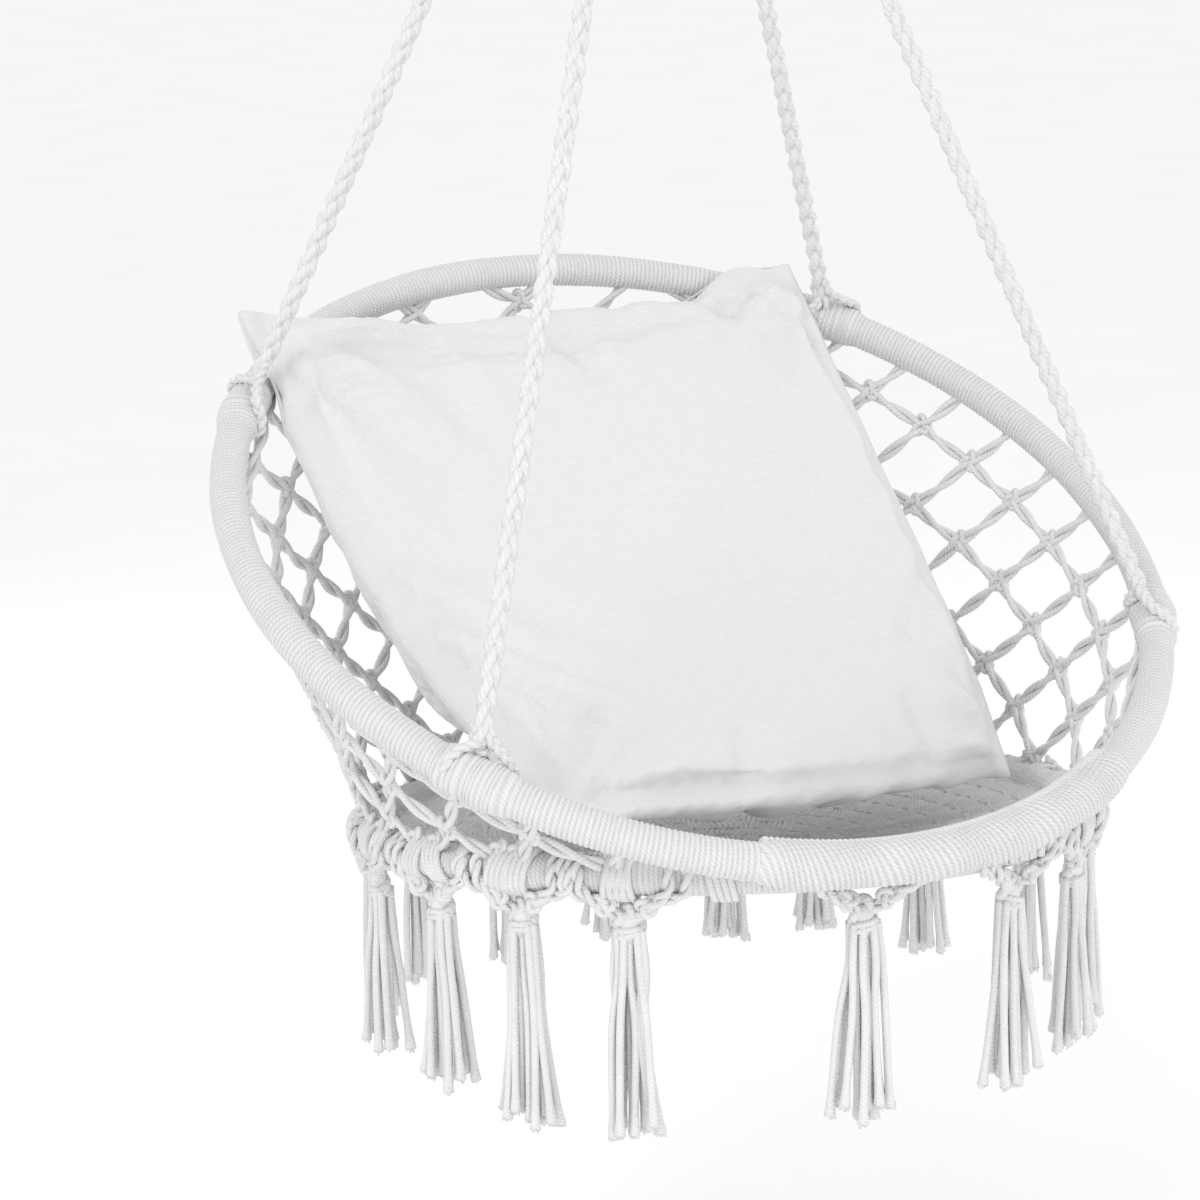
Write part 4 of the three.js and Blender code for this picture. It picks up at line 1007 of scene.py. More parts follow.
def flat_knot(piece, radius, angle, step, slant, wave):
    """A broad flat knot: cords laid side by side, drawn together at both rows' edges."""
    inner = radius - mat_row_pitch * 1.06
    middle = (radius + inner) / 2
    for share in mat_cord_shares:
        lift = wave.uniform(-0.3, 0.3)
        line = [
            mat_place(radius + 2.5, angle + step * (share * 0.72 + slant), -1.9),
            mat_place(radius - 4, angle + step * (share * 0.95 + slant * 0.7), 0.6 + lift),
            mat_place(middle, angle + step * share * 1.08, 1.5 + lift),
            mat_place(inner + 4, angle + step * (share * 0.95 - slant * 0.7), 0.6 + lift),
            mat_place(inner - 2.5, angle + step * (share * 0.72 - slant), -1.9),
        ]
        piece.cord(curve_through(line, 9), mat_cord_radius, **mat_cord)
    for end, away in ((radius, 1), (inner, -1)):
        line = [
            mat_place(end, angle - step * 0.27, -1.2),
            mat_place(end - away * 1.5, angle, 2.6),
            mat_place(end, angle + step * 0.27, -1.2),
        ]
        piece.cord(curve_through(line, 8), 2.1, **mat_cord)


def make_seat():
    """Rows of knots from the rim inwards, cords over the seat hoop, and a coil in the middle."""
    wave = random.Random("seat")
    piece = Piece()
    rim = seat_hoop_radius - wrap_radius - 3
    row, radius = 0, rim
    while radius > 20:
        count = max(4, round(2 * math.pi * (radius - mat_row_pitch / 2) / mat_knot_length))
        step = 360 / count
        slant = 0.05 * (1 if row % 2 else -1)
        for k in range(count):
            angle = (k + 0.5 * (row % 2)) * step
            flat_knot(piece, radius, angle, step, slant, wave)
            if row > 0:
                continue
            for share in mat_cord_shares:
                near = angle + step * share * 0.95
                if min(near % 360, -near % 360) < front_half_angle:
                    continue
                line = [
                    mat_place(rim - 2, near, -0.5),
                    seat_hoop.at(near, wrap_radius + 1.9, 176),
                    seat_hoop.at(near, wrap_radius + 1.9, 135),
                    seat_hoop.at(near, wrap_radius + 0.6, 100),
                ]
                piece.cord(curve_through(line, 9), 2.3, **mat_cord)
        row, radius = row + 1, radius - mat_row_pitch
    turns = np.linspace(0, 6 * math.pi, 70)
    coil = [mat_place(1 + t * radius / 18, math.degrees(t), 0.4) for t in turns]
    piece.cord(coil, 2.6, **knot_cord)
    piece.make("knotted_seat", knot_cotton, "bound_cord", ["seat_mat"])


# Tassels
def make_tassel(index):
    """Cords gathered from both sides of the hoop, knotted, and hanging loose."""
    wave = random.Random(100 + index)
    angle = tassel_angles[index]
    hold = seat_hoop.at(angle)
    out, along = seat_hoop.out(angle), seat_hoop.along(angle)
    down = np.array([0, 0, -1.0])
    length = tassel_length * tassel_length_shares[index]
    head = hold + down * tassel_head_drop + out * 3
    piece = Piece()
    for side in (-1, 1):
        for k in range(2):
            beside = side * (36 + 9 * k + wave.uniform(-4, 4))
            place = angle + math.degrees(beside / seat_hoop_radius)
            from_side = hold - seat_hoop.at(place)
            line = [
                seat_hoop.at(place, wrap_radius + 1.5, 75),
                seat_hoop.at(place, wrap_radius + 3.0, 20),
                seat_hoop.at(place, wrap_radius + 3.2, -32) + from_side * 0.08,
                seat_hoop.at(place) + from_side * 0.5 + down * (23 - 4 * k) + out * (13 - 3 * k),
                head + along * side * 7 + out * 2 - down * 3,
                head - along * side * 3 + down * 3,
            ]
            twisted_pair(piece, curve_through(line, 34), 2.7, 30.0, wave.uniform(0, 6))
        middle = hold + down * 21 + out * 12 + along * side * 17
        lean = unit(down * 0.55 - along * side * 0.8)
        pulled_knot(piece, middle, lean, out, 2.7, 2.7, wave)
    lean = unit(down + along * wave.uniform(-0.4, 0.4))
    pulled_knot(piece, head + down, lean, out, 3.5, 4.2, wave)
    for k in range(2):
        tilt = wave.uniform(-3, 3)
        ring = [
            head
            + down * (7.5 + 4.4 * k + tilt * math.cos(a))
            + along * 9.6 * math.cos(a)
            + out * 8.6 * math.sin(a)
            for a in once_round(22)
        ]
        piece.cord(ring, 2.5, closed=True, **knot_cord)
    core = [head + down * d for d in (-7, 0, 8, 18)]
    piece.cord(core, np.array([5, 8.2, 8.0, 6.0]), sides=12)
    for k in range(tassel_cords):
        turn = 2 * math.pi * (k + wave.uniform(-0.3, 0.3)) / tassel_cords
        inner = k % 3 == 0
        lean = along * math.cos(turn) + out * 0.62 * math.sin(turn)
        near = 4.5 if inner else 11.0
        far = wave.uniform(4, 12) if inner else wave.uniform(17, 29)
        drop = length - wave.uniform(0, 16)
        points = []
        widths = {0: near, 0.22: near * 1.2, 0.5: near + 0.42 * (far - near), 1: far}
        for share, size in widths.items():
            sway = along * wave.uniform(-8, 8) + out * wave.uniform(-4, 4)
            fall = tassel_head_drop * 0.2 + share * (drop - tassel_head_drop * 1.2)
            points.append(head + lean * size + sway * share * (1.3 - share) + down * fall)
        line = curve_through(points, 34)
        size = np.full(35, tassel_cord_radius)
        size[-5:] *= [1.03, 1.1, 1.2, 1.34, 1.46]
        piece.cord(line, size, sides=9, plies=3, lay=11.0)
        for _ in range(tassel_frays):
            spread = lean * wave.uniform(-3, 3) + along * wave.uniform(-3, 3)
            tip = line[-1] + spread
            fray = unit(down * 3 + spread * 0.16 + out * wave.uniform(-0.5, 0.5))
            hair = wave.uniform(1, 4)
            piece.cord([tip - fray * 5, tip, tip + fray * hair], [0.9, 0.7, 0.35], sides=4)
    name = f"loose_tassel_{index + 1}"
    piece.make(name, tassel_cotton, "white_cord", [f"tassel_{index + 1}"])


# Cushion
def cushion_middle(u, v):
    """The cushion's middle surface through its nine listed points."""

    def blend(a, b, c, t):
        return a * (t * (t - 1) / 2) + b * (1 - t * t) + c * (t * (t + 1) / 2)

    return blend(*[blend(*row, u) for row in cushion_points], v)


def pushed_off(place, middle, least):
    """Moves a place that is too near a middle straight away from it."""
    way = place - middle
    reach = np.linalg.norm(way)
    return middle + way * (least / reach) if reach < least else place


def clear_of_back_hoop(place, least):
    """The same for the back hoop's centre line."""
    return pushed_off(place, back_hoop.at(back_hoop.angle_of(place)), least)


def cushion_place(u, v, side):
    """A place on the front (-1) or back (1) of the sewn cover, before it swells."""
    x = u * (1 - cushion_draw_share * (1 - v * v))
    y = v * (1 - cushion_draw_share * (1 - u * u))
    step = 0.04
    away = wrap_radius + cushion_over_hoop

    def draped(a, b):
        return clear_of_back_hoop(cushion_middle(a, b), away)

    right = draped(x + step, y) - draped(x - step, y)
    down = draped(x, y + step) - draped(x, y - step)
    face = unit(np.cross(right, down))
    low = max(0.0, v)
    swell = max(0.0, 1 - u * u) ** cushion_fullness
    swell *= max(0.0, 1 - v * v) ** (cushion_fullness + cushion_low_taper * low)
    half = cushion_edge + (cushion_half_thickness - cushion_edge) * swell
    place = draped(x, y * (1 + cushion_low_reach * low**3)) + face * side * half
    place = place + cushion_low_shift * low**3 * (1 - u * u)
    return clear_of_back_hoop(place, wrap_radius + cushion_off_back_hoop)


def cushion_fold(u, v, side):
    """Creases of the cover: listed ones, short ones across the seams, and a soft dent."""
    height = 0.0
    for along, across, phase in ((u, v, 0.4), (v, u, 2.1)):
        near = max(0.0, abs(across) - 0.62) / 0.38
        rhythm = math.sin(19 * along + phase + 2.4 * math.sin(5 * along + side))
        height += 3.6 * near * (1 - near * 0.35) * rhythm
    for cu, cv in ((-1, -1), (1, -1), (-1, 1), (1, 1)):
        du, dv = u - cu, v - cv
        reach = math.hypot(du, dv)
        turn = math.atan2(dv * cv, du * cu)
        height += 5.0 * math.exp(-((reach - 0.36) ** 2) / 0.05) * math.sin(12 * turn + side + cu)
    for (u0, v0), (u1, v1), depth, width in cushion_creases:
        du, dv = u1 - u0, v1 - v0
        reach = math.hypot(du, dv)
        share = ((u - u0) * du + (v - v0) * dv) / reach**2
        beside = ((u - u0) * dv - (v - v0) * du) / reach
        fade = math.exp(-max(0.0, abs(share - 0.5) - 0.35) ** 2 / 0.05)
        valley = math.exp(-((beside / width) ** 2))
        ridge = math.exp(-(((beside - 1.9 * width) / (1.5 * width)) ** 2))
        height += depth * fade * (0.75 * ridge - valley)
    if side < 0:
        height -= 9 * math.exp(-((u - 0.1) ** 2 / 0.3 + (v - 0.2) ** 2 / 0.12))
    return height * min(1.0, 9 * (1 - u * u) * (1 - v * v) + 0.25)


def make_cushion():
    """A sewn cover of two squares, swelled with cloth simulation and settled on the net."""
    count = cushion_cells * 2
    marks = np.linspace(-1, 1, count + 1)
    sheets = [
        np.array([[cushion_place(u, v, side) for u in marks] for v in marks]) for side in (-1, 1)
    ]
    rim = [(0, k) for k in range(count)] + [(k, count) for k in range(count)]
    rim += [(count, count - k) for k in range(count)] + [(count - k, 0) for k in range(count)]
    across = count + 1
    faces = []
    for side in (0, 1):
        base = side * across * across
        for row in range(count):
            for column in range(count):
                a = base + row * across + column
                quad = [a, a + 1, a + across + 1, a + across]
                faces.append(quad[::-1] if side else quad)
    for k, here in enumerate(rim):
        onward = rim[(k + 1) % len(rim)]
        a, b = here[0] * across + here[1], onward[0] * across + onward[1]
        faces.append([b, a, a + across * across, b + across * across])
    mesh = bpy.data.meshes.new("square_cushion")
    places = (np.concatenate([s.reshape(-1, 3) for s in sheets]) + chair_origin) * MM
    mesh.from_pydata(places.tolist(), [], faces)
    mesh.validate()
    cushion = placed("square_cushion", mesh)
    tree = KDTree(2 * across * across)
    squares = []
    for side, sheet in zip((-1, 1), sheets):
        for row, v in enumerate(marks):
            for column, u in enumerate(marks):
                tree.insert(sheet[row, column].tolist(), len(squares))
                squares.append((u, v, side))
    tree.balance()
    swell(cushion, lambda place: cushion_fold(*squares[tree.find(place)[1]]))
    mesh = cushion.data
    mesh.materials.clear()
    mesh.materials.append(cushion_cloth)
    mesh.polygons.foreach_set("use_smooth", [True] * len(mesh.polygons))
    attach(cushion, "cushion")
    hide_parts("cushion")
    make_seam(cushion, [sheets[0][row, column] for row, column in rim])


def remesh(cushion, size):
    """Even faces all over the cover, closed at its edge."""
    modifier = cushion.modifiers.new("even_faces", "REMESH")
    modifier.mode = "VOXEL"
    modifier.voxel_size = size * MM
    keep_shape(cushion)


def at_vertices(mesh, what):
    """The place or the normal of each vertex."""
    numbers = np.empty(len(mesh.vertices) * 3)
    mesh.vertices.foreach_get(what, numbers)
    return numbers.reshape(-1, 3)


def swell(cushion, fold_at):
    """Fills the cover, adds its folds, and settles it on what it touches.
    """
    remesh(cushion, cushion_voxel)
    before = at_vertices(cushion.data, "co")
    after = before
    cloth = cushion.modifiers.new("filling", "CLOTH")
    for setting, value in cushion_filling.items():
        setattr(cloth.settings, setting, value)
    cloth.settings.effector_weights.gravity = 0
    cloth.collision_settings.use_collision = False
    for number in range(1, cushion_frames + 1):
        bpy.context.scene.frame_set(number)
    keep_shape(cushion)
    bpy.context.scene.frame_set(1)
    after = at_vertices(cushion.data, "co")
    moved = after - before
    reach = np.linalg.norm(moved, axis=1)[:, None]
    after = before + moved * np.minimum(1, cushion_cap * MM / np.maximum(reach, 1e-9))
    cushion.data.vertices.foreach_set("co", after.ravel())
    cushion.data.update()
    normals = at_vertices(cushion.data, "normal")
    folds = np.array([fold_at(place.tolist()) for place in before / MM - chair_origin])
    after = after / MM - chair_origin + normals * folds[:, None]
    after = np.array([settled(place) for place in after])
    cushion.data.vertices.foreach_set("co", ((after + chair_origin) * MM).ravel())
    cushion.data.update()
    smoother = cushion.modifiers.new("finer_faces", "SUBSURF")
    smoother.levels = 1
    keep_shape(cushion)


# The lower part of each rope, which the cover is kept clear of
rope_middles = [rope_line(name)[150:] for name in rope_angles]


def under_binding(angle):
    """Whether one of the ropes' bindings covers the back hoop at this angle."""
    reach = math.degrees(binding_half_width / back_hoop_radius)
    return any(abs((angle - a + 540) % 360 - 180) < reach for a in rope_angles.values())


def settled(place):
    """Keeps the cover off the hoops, the bindings and the ropes, and on top of the mat."""
    angle = back_hoop.angle_of(place)
    away = cushion_off_binding if under_binding(angle) else cushion_off_wrap
    place = clear_of_back_hoop(place, wrap_radius + away)
    middle = seat_hoop.at(seat_hoop.angle_of(place))
    place = pushed_off(place, middle, wrap_radius + cushion_off_seat_hoop)
    local = seat_hoop.turn.T @ place
    share = math.hypot(local[0], local[1]) / (seat_hoop_radius - wrap_radius)
    rest = cushion_over_mat + mat_height(share, seat_hoop.angle_of(place))
    if share < 1 and local[2] < rest:
        place = seat_hoop.turn @ np.array([local[0], local[1], rest])
    for line in rope_middles:
        gap = line - place
        nearest = line[np.argmin((gap**2).sum(1))]
        place = pushed_off(place, nearest, rope_radius + cushion_off_rope)
    return place


def make_seam(cushion, rim):
    """The sewn edge: a narrow ridge along three sides. The fourth lies on the mat."""
    mesh = cushion.data
    places = [vertex.co.copy() for vertex in mesh.vertices]
    tree = BVHTree.FromPolygons(places, [tuple(face.vertices) for face in mesh.polygons])
    rim = np.array(rim)
    middle = rim.mean(0)
    line = []
    for place in rim:
        outside = place + unit(place - middle) * 30
        hit = tree.find_nearest(Vector(((outside + chair_origin) * MM).tolist()))
        line.append(np.array(hit[0]) / MM - chair_origin)
    line = np.array(line)
    for _ in range(3):
        line = (np.roll(line, 1, 0) + 2 * line + np.roll(line, -1, 0)) / 4
    side = len(line) // 4
    line = even(np.vstack([line[3 * side :], line[: 2 * side]]), 400)
    piece = Piece()
    piece.cord(line, 1.5, flat=0.8)
    piece.make("cushion_seam", seam_thread, "cushion_cloth", body="cushion")


# Ceiling kit, in the part's own frame
plate_radius = 44.0
plate_thickness = 2.5
dome_mouth_radius = 28.5
dome_floor_radius = 24.6
dome_depth = 9.0
plate_hole_radius = 4.6
plate_hole_circle = 36.4
eye_bar_radius = 4.0
eye_leg_offset = 18.6
eye_corner_radius = 7.0
eye_bar_z = -33.5


def lathe(piece, outline, middle=(0, 0, 0), sides=96):
    """A closed turned shape from its section, given as radius and height."""
    a = once_round(sides)
    rings = [
        np.stack([r * np.cos(a), r * np.sin(a), np.full(sides, float(z))], -1) + np.array(middle)
        for r, z in outline
    ]
    piece.rings(rings)


def rounded(outline, size):
    """The same section with its inner corners rounded."""
    outline = [np.array(p, float) for p in outline]
    result = [outline[0]]
    for before, corner, after in zip(outline, outline[1:], outline[2:]):
        sides = [np.linalg.norm(end - corner) for end in (before, after)]
        reach = min(size, *(0.45 * side for side in sides))
        start, end = corner + unit(before - corner) * reach, corner + unit(after - corner) * reach
        for t in np.linspace(0, 1, 5):
            result.append(start * (1 - t) ** 2 + 2 * corner * t * (1 - t) + end * t * t)
    result.append(outline[-1])
    return result


def screw_places():
    """Four places on the plate's hole circle."""
    return [
        plate_hole_circle * np.array([math.cos(a), math.sin(a), 0])
        for a in np.radians([45, 135, 225, 315])
    ]


metals = {"polished_steel": polished_plate, "zinc_steel": zinc_plate}


def make_metal(piece, name, slot, node, body, cutters=()):
    made = piece.make(name, metals[slot], slot, [node], body, kit_origin)
    for opening, rings in cutters:
        shape = Piece()
        shape.rings(rings)
        cutter = shape.make(opening, zinc_plate, body=body, origin=kit_origin)
        flat_sides = [False] * len(cutter.data.polygons)
        cutter.data.polygons.foreach_set("use_smooth", flat_sides)
        cut = made.modifiers.new(opening, "BOOLEAN")
        cut.object = cutter
        cut.solver = "EXACT"
        keep_shape(made)
        bpy.data.objects.remove(cutter, do_unlink=True)


def pin_rings(start, end, radius):
    """A plain round bar for cutting."""
    return tube([start, (start + end) / 2, end], radius, sides=28)


def make_plate():
    """A pressed disc with a dome, bored for the screws and for the eye's legs."""
    outline = [
        [0.01, -dome_depth],
        [dome_floor_radius - 3, -dome_depth],
        [dome_floor_radius, -dome_depth + 1.5],
        [dome_mouth_radius - 0.8, -0.8],
        [dome_mouth_radius + 0.8, 0],
        [plate_radius - 0.7, 0],
        [plate_radius, -0.7],
        [plate_radius, -plate_thickness + 0.7],
        [plate_radius - 0.7, -plate_thickness],
        [dome_mouth_radius + 1.6, -plate_thickness],
        [dome_mouth_radius + 0.4, -plate_thickness - 1.2],
        [dome_floor_radius + 1.2, -dome_depth - plate_thickness + 2.2],
        [dome_floor_radius - 1.6, -dome_depth - plate_thickness],
        [0.01, -dome_depth - plate_thickness],
    ]
    piece = Piece()
    lathe(piece, rounded(outline, 1.2))
    cutters = [
        (f"screw_hole_{k}", pin_rings(p - [0, 0, 6], p + [0, 0, 4], plate_hole_radius))
        for k, p in enumerate(screw_places())
    ]
    for side in (-1, 1):
        foot = np.array([side * eye_leg_offset, 0, -dome_depth - 8])
        cutters.append(
            (f"leg_hole_{side}", pin_rings(foot, foot + [0, 0, 12], eye_bar_radius + seat_gap))
        )
    make_metal(piece, "ceiling_disc", "polished_steel", "ceiling_plate", "ceiling_mount", cutters)


def make_eye():
    """A round bar bent to a flat-bottomed bow, with its ends upset over the dome."""
    top = -dome_depth + seat_gap + 3
    corner_z = eye_bar_z + eye_corner_radius
    line = [[-eye_leg_offset, 0, top], [-eye_leg_offset, 0, corner_z]]
    for side, start in ((-1, 180), (1, 270)):
        middle = side * (eye_leg_offset - eye_corner_radius)
        for a in np.radians(np.linspace(start, start + 90, 10)):
            across, rise = eye_corner_radius * math.cos(a), eye_corner_radius * math.sin(a)
            line.append([middle + across, 0, corner_z + rise])
    line += [[eye_leg_offset, 0, corner_z], [eye_leg_offset, 0, top]]
    piece = Piece()
    piece.cord(even(np.array(line), 70), eye_bar_radius, sides=20)
    for side in (-1, 1):
        middle = np.array([side * eye_leg_offset, 0, 0])
        outline = [[0.01, top], [4.4, top], [5.4, top - 1.2], [5.2, top - 2.9], [0.01, top - 2.9]]
        lathe(piece, rounded(outline[::-1], 0.8), middle, 28)
    make_metal(piece, "bow_eye", "polished_steel", "plate_eye", "ceiling_mount")


def make_screws():
    """Hexagon heads with a turned chamfer, plain necks, and a coarse thread to the point."""
    head_top = -plate_thickness - seat_gap
    head_height, across_flats, chamfer = 5.3, 13.0, 7.6
    shank, plain_length, whole_length, pitch, point = 3.9, 24, 75, 3.4, 9
    heads = ((0, 6.9), (0.35, chamfer), (head_height - 0.8, chamfer), (head_height, 6.3))
    threaded = np.arange(plain_length + 0.5, whole_length + 0.01, 0.42)
    for k, place in enumerate(screw_places()):
        piece = Piece()
        a = once_round(48)
        flat = across_flats / 2 / np.cos((a + math.pi / 6) % (math.pi / 3) - math.pi / 6)
        rings = []
        for drop, reach in heads:
            size = np.minimum(flat, reach)
            height = np.full(48, head_top - drop)
            rings.append(np.stack([size * np.cos(a), size * np.sin(a), height], -1))
        spin = turn_z(math.atan2(place[1], place[0]))
        piece.rings(np.array(rings)[::-1] @ spin.T + place)
        rings = []
        a = once_round(24)
        for up in (0, 1, plain_length, *threaded):
            taper = min(1.0, (whole_length + 0.4 - up) / point)
            wind = (up / pitch - a / 2 / math.pi) % 1
            tooth = np.clip(1 - np.abs(wind - 0.5) * 4.2, 0, 1)
            size = np.full(24, shank * 0.97)
            if up > plain_length:
                size = shank * taper * (0.76 + 0.24 * tooth)
            height = np.full(24, head_top + up)
            rings.append(np.stack([size * np.cos(a), size * np.sin(a), height], -1))
        piece.rings(np.array(rings) + place)
        name, node = f"hexagon_screw_{k + 1}", f"lag_screw_{k + 1}"
        make_metal(piece, name, "zinc_steel", node, "ceiling_mount")


# Chain: four runs of long links, hung over the eye by two of them
link_wire = 3.2
link_inner_length = 22.4
link_inner_width = 7.0
links_in_run = 15
link_bite = 0.2
saddle_side = 7.0
end_run_drop = 5.1
end_run_places = [[-9, 1.7], [-9, -5.4], [-9, -9], [-9, -9.5], [-8, -10], [-7.6, -10.2]]
middle_run_places = [[0, 0], [0, 1.8], [-1.8, 5.2], [-5.2, 5.6], [-7.2, 6], [-7.2, 6.6]]
run_foot_z = -361.45
saddle_over_bar = 6.9


def add_link(piece, middle, across, along):
    """One welded link of round wire, with a low weld bead on one side."""
    half_width = (link_inner_width + link_wire) / 2
    straight = (link_inner_length + link_wire) / 2 - half_width
    line = []
    for start, end in ((0, straight), (math.pi, -straight)):
        for a in np.linspace(start, start + math.pi, 10):
            out, on = half_width * math.cos(a), end + half_width * math.sin(a)
            line.append(middle + across * out + along * on)
    piece.cord(line, link_wire / 2, sides=10, closed=True)
    weld = middle + across * half_width
    piece.cord(
        [weld - along * 1.6, weld - along * 0.6, weld + along * 0.6, weld + along * 1.6],
        np.array([1.6, 1.85, 1.85, 1.6]),
        sides=10,
    )


def run_joints(places, top, drop):
    """Where one run's links meet, from its foot up to the link over the eye."""
    fanned = len(places) - 1
    joints = []
    for i in range(links_in_run + 1):
        share = max(0, (i - fanned) / (links_in_run - fanned))
        x, y = places[min(i, fanned)]
        z = run_foot_z + i * (link_inner_length + link_bite) - drop
        joints.append(np.array([x + (top[0] - x) * share, y + (top[1] - y) * share, z]))
    return joints


def make_chain():
    """Two links over the eye, and two runs from each; the middle runs share the lowest link."""
    tip = (link_inner_length + link_wire) / 2
    lean = math.asin(end_run_drop / (2 * tip))
    piece = Piece()
    for half_turn in (0, 1):
        turn = np.diag([-1.0, -1.0, 1.0]) if half_turn else np.eye(3)
        along = np.array([0, math.cos(lean), math.sin(lean)])
        rise = np.array([0, -math.sin(lean), math.cos(lean)])
        middle = np.array([-saddle_side, 0, eye_bar_z]) + rise * saddle_over_bar
        add_link(piece, turn @ middle, turn @ np.array([1.0, 0, 0]), turn @ along)
        runs = [
            run_joints(end_run_places, middle - along * tip, end_run_drop),
            run_joints(middle_run_places, middle + along * tip, 0),
        ]
        for run, joints in enumerate(runs):
            for i in range(half_turn * run, links_in_run):
                way = unit(joints[i + 1] - joints[i])
                hint = np.array([0, 1.0, 0]) if i % 2 == 0 else np.array([1.0, 0, 0])
                through = unit(np.cross(hint, way))
                place = joints[i] + way * link_inner_length / 2
                add_link(piece, turn @ place, turn @ np.cross(way, through), turn @ way)
    make_metal(piece, "welded_chain", "zinc_steel", "chain", "chain")


# Carabiner
wide_centre_z = -373.9
narrow_centre_z = -423.1
carabiner_wide_radius = 15.5
carabiner_narrow_radius = 9.8
carabiner_wire_radius = 2.75
limb_lean = math.asin(
    (carabiner_wide_radius - carabiner_narrow_radius) / (wide_centre_z - narrow_centre_z)
)
limb_normal = np.array([math.cos(limb_lean), 0, -math.sin(limb_lean)])
limb_top = np.array([0, 0, wide_centre_z]) + limb_normal * carabiner_wide_radius
limb_foot = np.array([0, 0, narrow_centre_z]) + limb_normal * carabiner_narrow_radius
limb_way = unit(limb_foot - limb_top)
limb_length = np.linalg.norm(limb_foot - limb_top)
through_limb = np.array([0, 1.0, 0])
nose_at = 0.14 * limb_length
pivot_end_at = 0.86 * limb_length
pin_at = pivot_end_at - 3.5


def on_limb(distance):
    """A place on the gate's side of the carabiner, down from its top."""
    return limb_top + limb_way * distance


def arc_xz(height, radius, start, end, steps):
    """An arc in the carabiner's plane, round a middle at this height."""
    return [
        [radius * math.cos(a), 0, height + radius * math.sin(a)]
        for a in np.linspace(start, end, steps)
    ]


def tongue(piece, start, end):
    """A flat tongue with rounded edges, in the plane of the carabiner."""
    line = [on_limb(start + (end - start) * t) for t in (0, 0.33, 0.7, 0.92, 1)]
    shape = [(x, -2) for x in (-1, -0.7, 0.7, 1)] + [(x, 2) for x in (1, 0.7, -0.7, -1)]
    rings = [
        np.array([p + through_limb * x + limb_normal * y * size for x, y in shape])
        for p, size in zip(line, (1, 1, 1, 0.9, 0.6))
    ]
    piece.rings(rings)


def make_carabiner():
    """A pear-shaped body of round wire with two tongues, its slotted gate and the gate's rivet."""
    left = math.pi + limb_lean
    path = [
        on_limb(pivot_end_at),
        *arc_xz(narrow_centre_z, carabiner_narrow_radius, -limb_lean, left - 2 * math.pi, 24),
        *arc_xz(wide_centre_z, carabiner_wide_radius, left, -limb_lean, 34),
        on_limb(nose_at),
    ]
    piece = Piece()
    piece.cord(even(np.array(path), 150), carabiner_wire_radius, sides=20)
    tongue(piece, nose_at - 2, nose_at + 3.5)
    tongue(piece, pivot_end_at + 2, pivot_end_at - 7)
    make_metal(piece, "snap_hook", "zinc_steel", "carabiner_body", "carabiner")
    top, foot = nose_at + 0.5, pivot_end_at - 1.3
    piece = Piece()
    places = (top, top + 0.5, top + 6, (top + foot) / 2, foot - 6, foot - 0.6, foot)
    rod = [on_limb(place) for place in places]
    piece.cord(rod, np.array([2.35, *[carabiner_wire_radius] * 5, 2.3]), sides=24)
    square = [[-1.3, -9], [1.3, -9], [1.3, 9], [-1.3, 9]]
    cutters = []
    for k, (start, end) in enumerate(((top - 1, nose_at + 4.0), (pivot_end_at - 8.3, foot + 1))):
        rings = [
            np.array([on_limb(d) + through_limb * x + limb_normal * y for x, y in square])
            for d in (start, end)
        ]
        cutters.append((f"slot_{k}", rings))
    make_metal(piece, "snap_gate", "zinc_steel", "carabiner_gate", "gate", cutters)
    piece = Piece()
    rivet = [on_limb(pin_at) + through_limb * d for d in (-3.35, -3.1, -2.85, 0, 2.85, 3.1, 3.35)]
    piece.cord(rivet, np.array([0.9, 1.5, 1.6, 0.9, 1.6, 1.5, 0.9]), sides=20)
    make_metal(piece, "gate_rivet", "zinc_steel", "gate_pin", "carabiner")


def make_ring():
    """The welded ring that the folded ropes hang on."""
    low, high = solid_box("crown_ring")
    middle = (low + high) / 2
    radius = (high[2] - low[2]) / 2 - ring_wire_radius
    a = once_round(72)
    line = middle + np.stack([0 * a, np.sin(a) * radius, np.cos(a) * radius], -1)
    piece = Piece()
    piece.cord(line, ring_wire_radius, sides=18, closed=True)
    make_metal(piece, "welded_ring", "zinc_steel", "crown_ring", "ring")


# Floor, light and the making of all pieces
floor_below = 0.36
floor_reach = 42.0
floor_steps = 24
softboxes = {
    "large_softbox": ((-2.2, -1.0, 2.2), 1.2, 21),
    "side_softbox": ((2.4, -1.2, 0.6), 1.6, 9),
    "front_softbox": ((-0.9, -2.6, -0.25), 1.0, 12),
    "back_softbox": ((0.4, 2.6, 1.2), 1.6, 6),
}


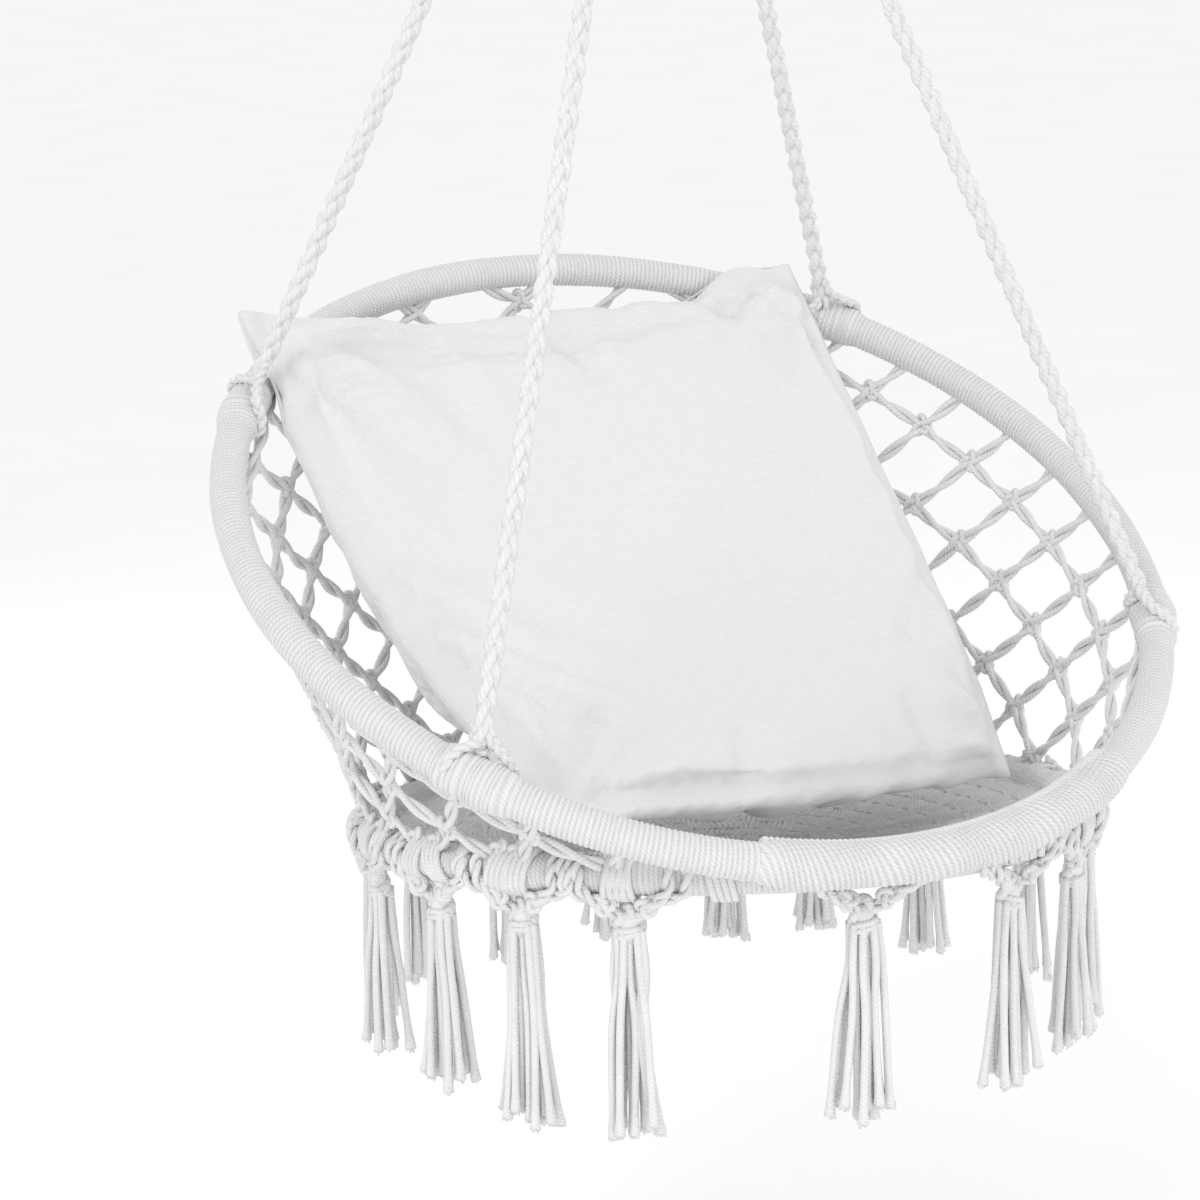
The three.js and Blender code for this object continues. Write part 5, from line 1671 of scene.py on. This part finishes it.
def make_stage():
    """A pale floor below the tassels."""
    floor_z = cad_box[0][2] - floor_below
    mesh = bpy.data.meshes.new("pale_floor")
    row = floor_steps + 1
    marks = np.linspace(-floor_reach, floor_reach, row)
    places = [(x, y, floor_z) for y in marks for x in marks]
    corners = [r * row + c for r in range(floor_steps) for c in range(floor_steps)]
    faces = [(a, a + 1, a + row + 1, a + row) for a in corners]
    mesh.from_pydata(places, [], faces)
    paper = Shade("studio_floor", Specular_IOR_Level=0.1)
    tone = paper.noise(paper.places(), 3, 2)
    paper.set(
        Base_Color=paper.mix(tone, (0.94, 0.94, 0.94), (0.9, 0.9, 0.9)),
        Roughness=0.9 + tone * 0.05,
    )
    mesh.materials.append(paper.material)
    placed("pale_floor", mesh)


def make_lights():
    """A white surround and four round lamps, each turned to the seat."""
    world = bpy.data.worlds.new("studio")
    bpy.context.scene.world = world
    world.use_nodes = True
    backdrop = world.node_tree.nodes["Background"]
    backdrop.inputs["Color"].default_value = (1.0, 1.0, 1.0, 1)
    backdrop.inputs["Strength"].default_value = 1.0
    middle = Vector((0, 0, chair_origin[2] * MM + 0.1))
    for name, (place, size, power) in softboxes.items():
        data = bpy.data.lights.new(name, "AREA")
        data.shape = "DISK"
        data.size = size
        data.energy = power
        lamp = placed(name, data)
        lamp.location = middle + Vector(place)
        lamp.rotation_euler = Vector(place).to_track_quat("Z", "Y").to_euler()
    bpy.context.scene.view_settings.view_transform = "Standard"


def dress_tubes():
    """The hoops' steel tubes stay as they were packed, and take the scene's steel."""
    for name in ("back_hoop_tube", "seat_hoop_tube"):
        for slot in bpy.data.objects[name].material_slots:
            slot.material = tube_steel


make_camera()
make_ropes()
make_bindings()
make_crown()
make_wrap("back_hoop_cord", back_hoop, [f"back_wrap_{k + 1}" for k in range(4)])
make_wrap("seat_hoop_cord", seat_hoop, [f"seat_wrap_{k + 1}" for k in range(4)])
make_net()
make_front_panel()
make_seat()
for number in range(len(tassel_angles)):
    make_tassel(number)
make_cushion()
make_plate()
make_eye()
make_screws()
make_chain()
make_carabiner()
make_ring()
dress_tubes()
make_stage()
make_lights()
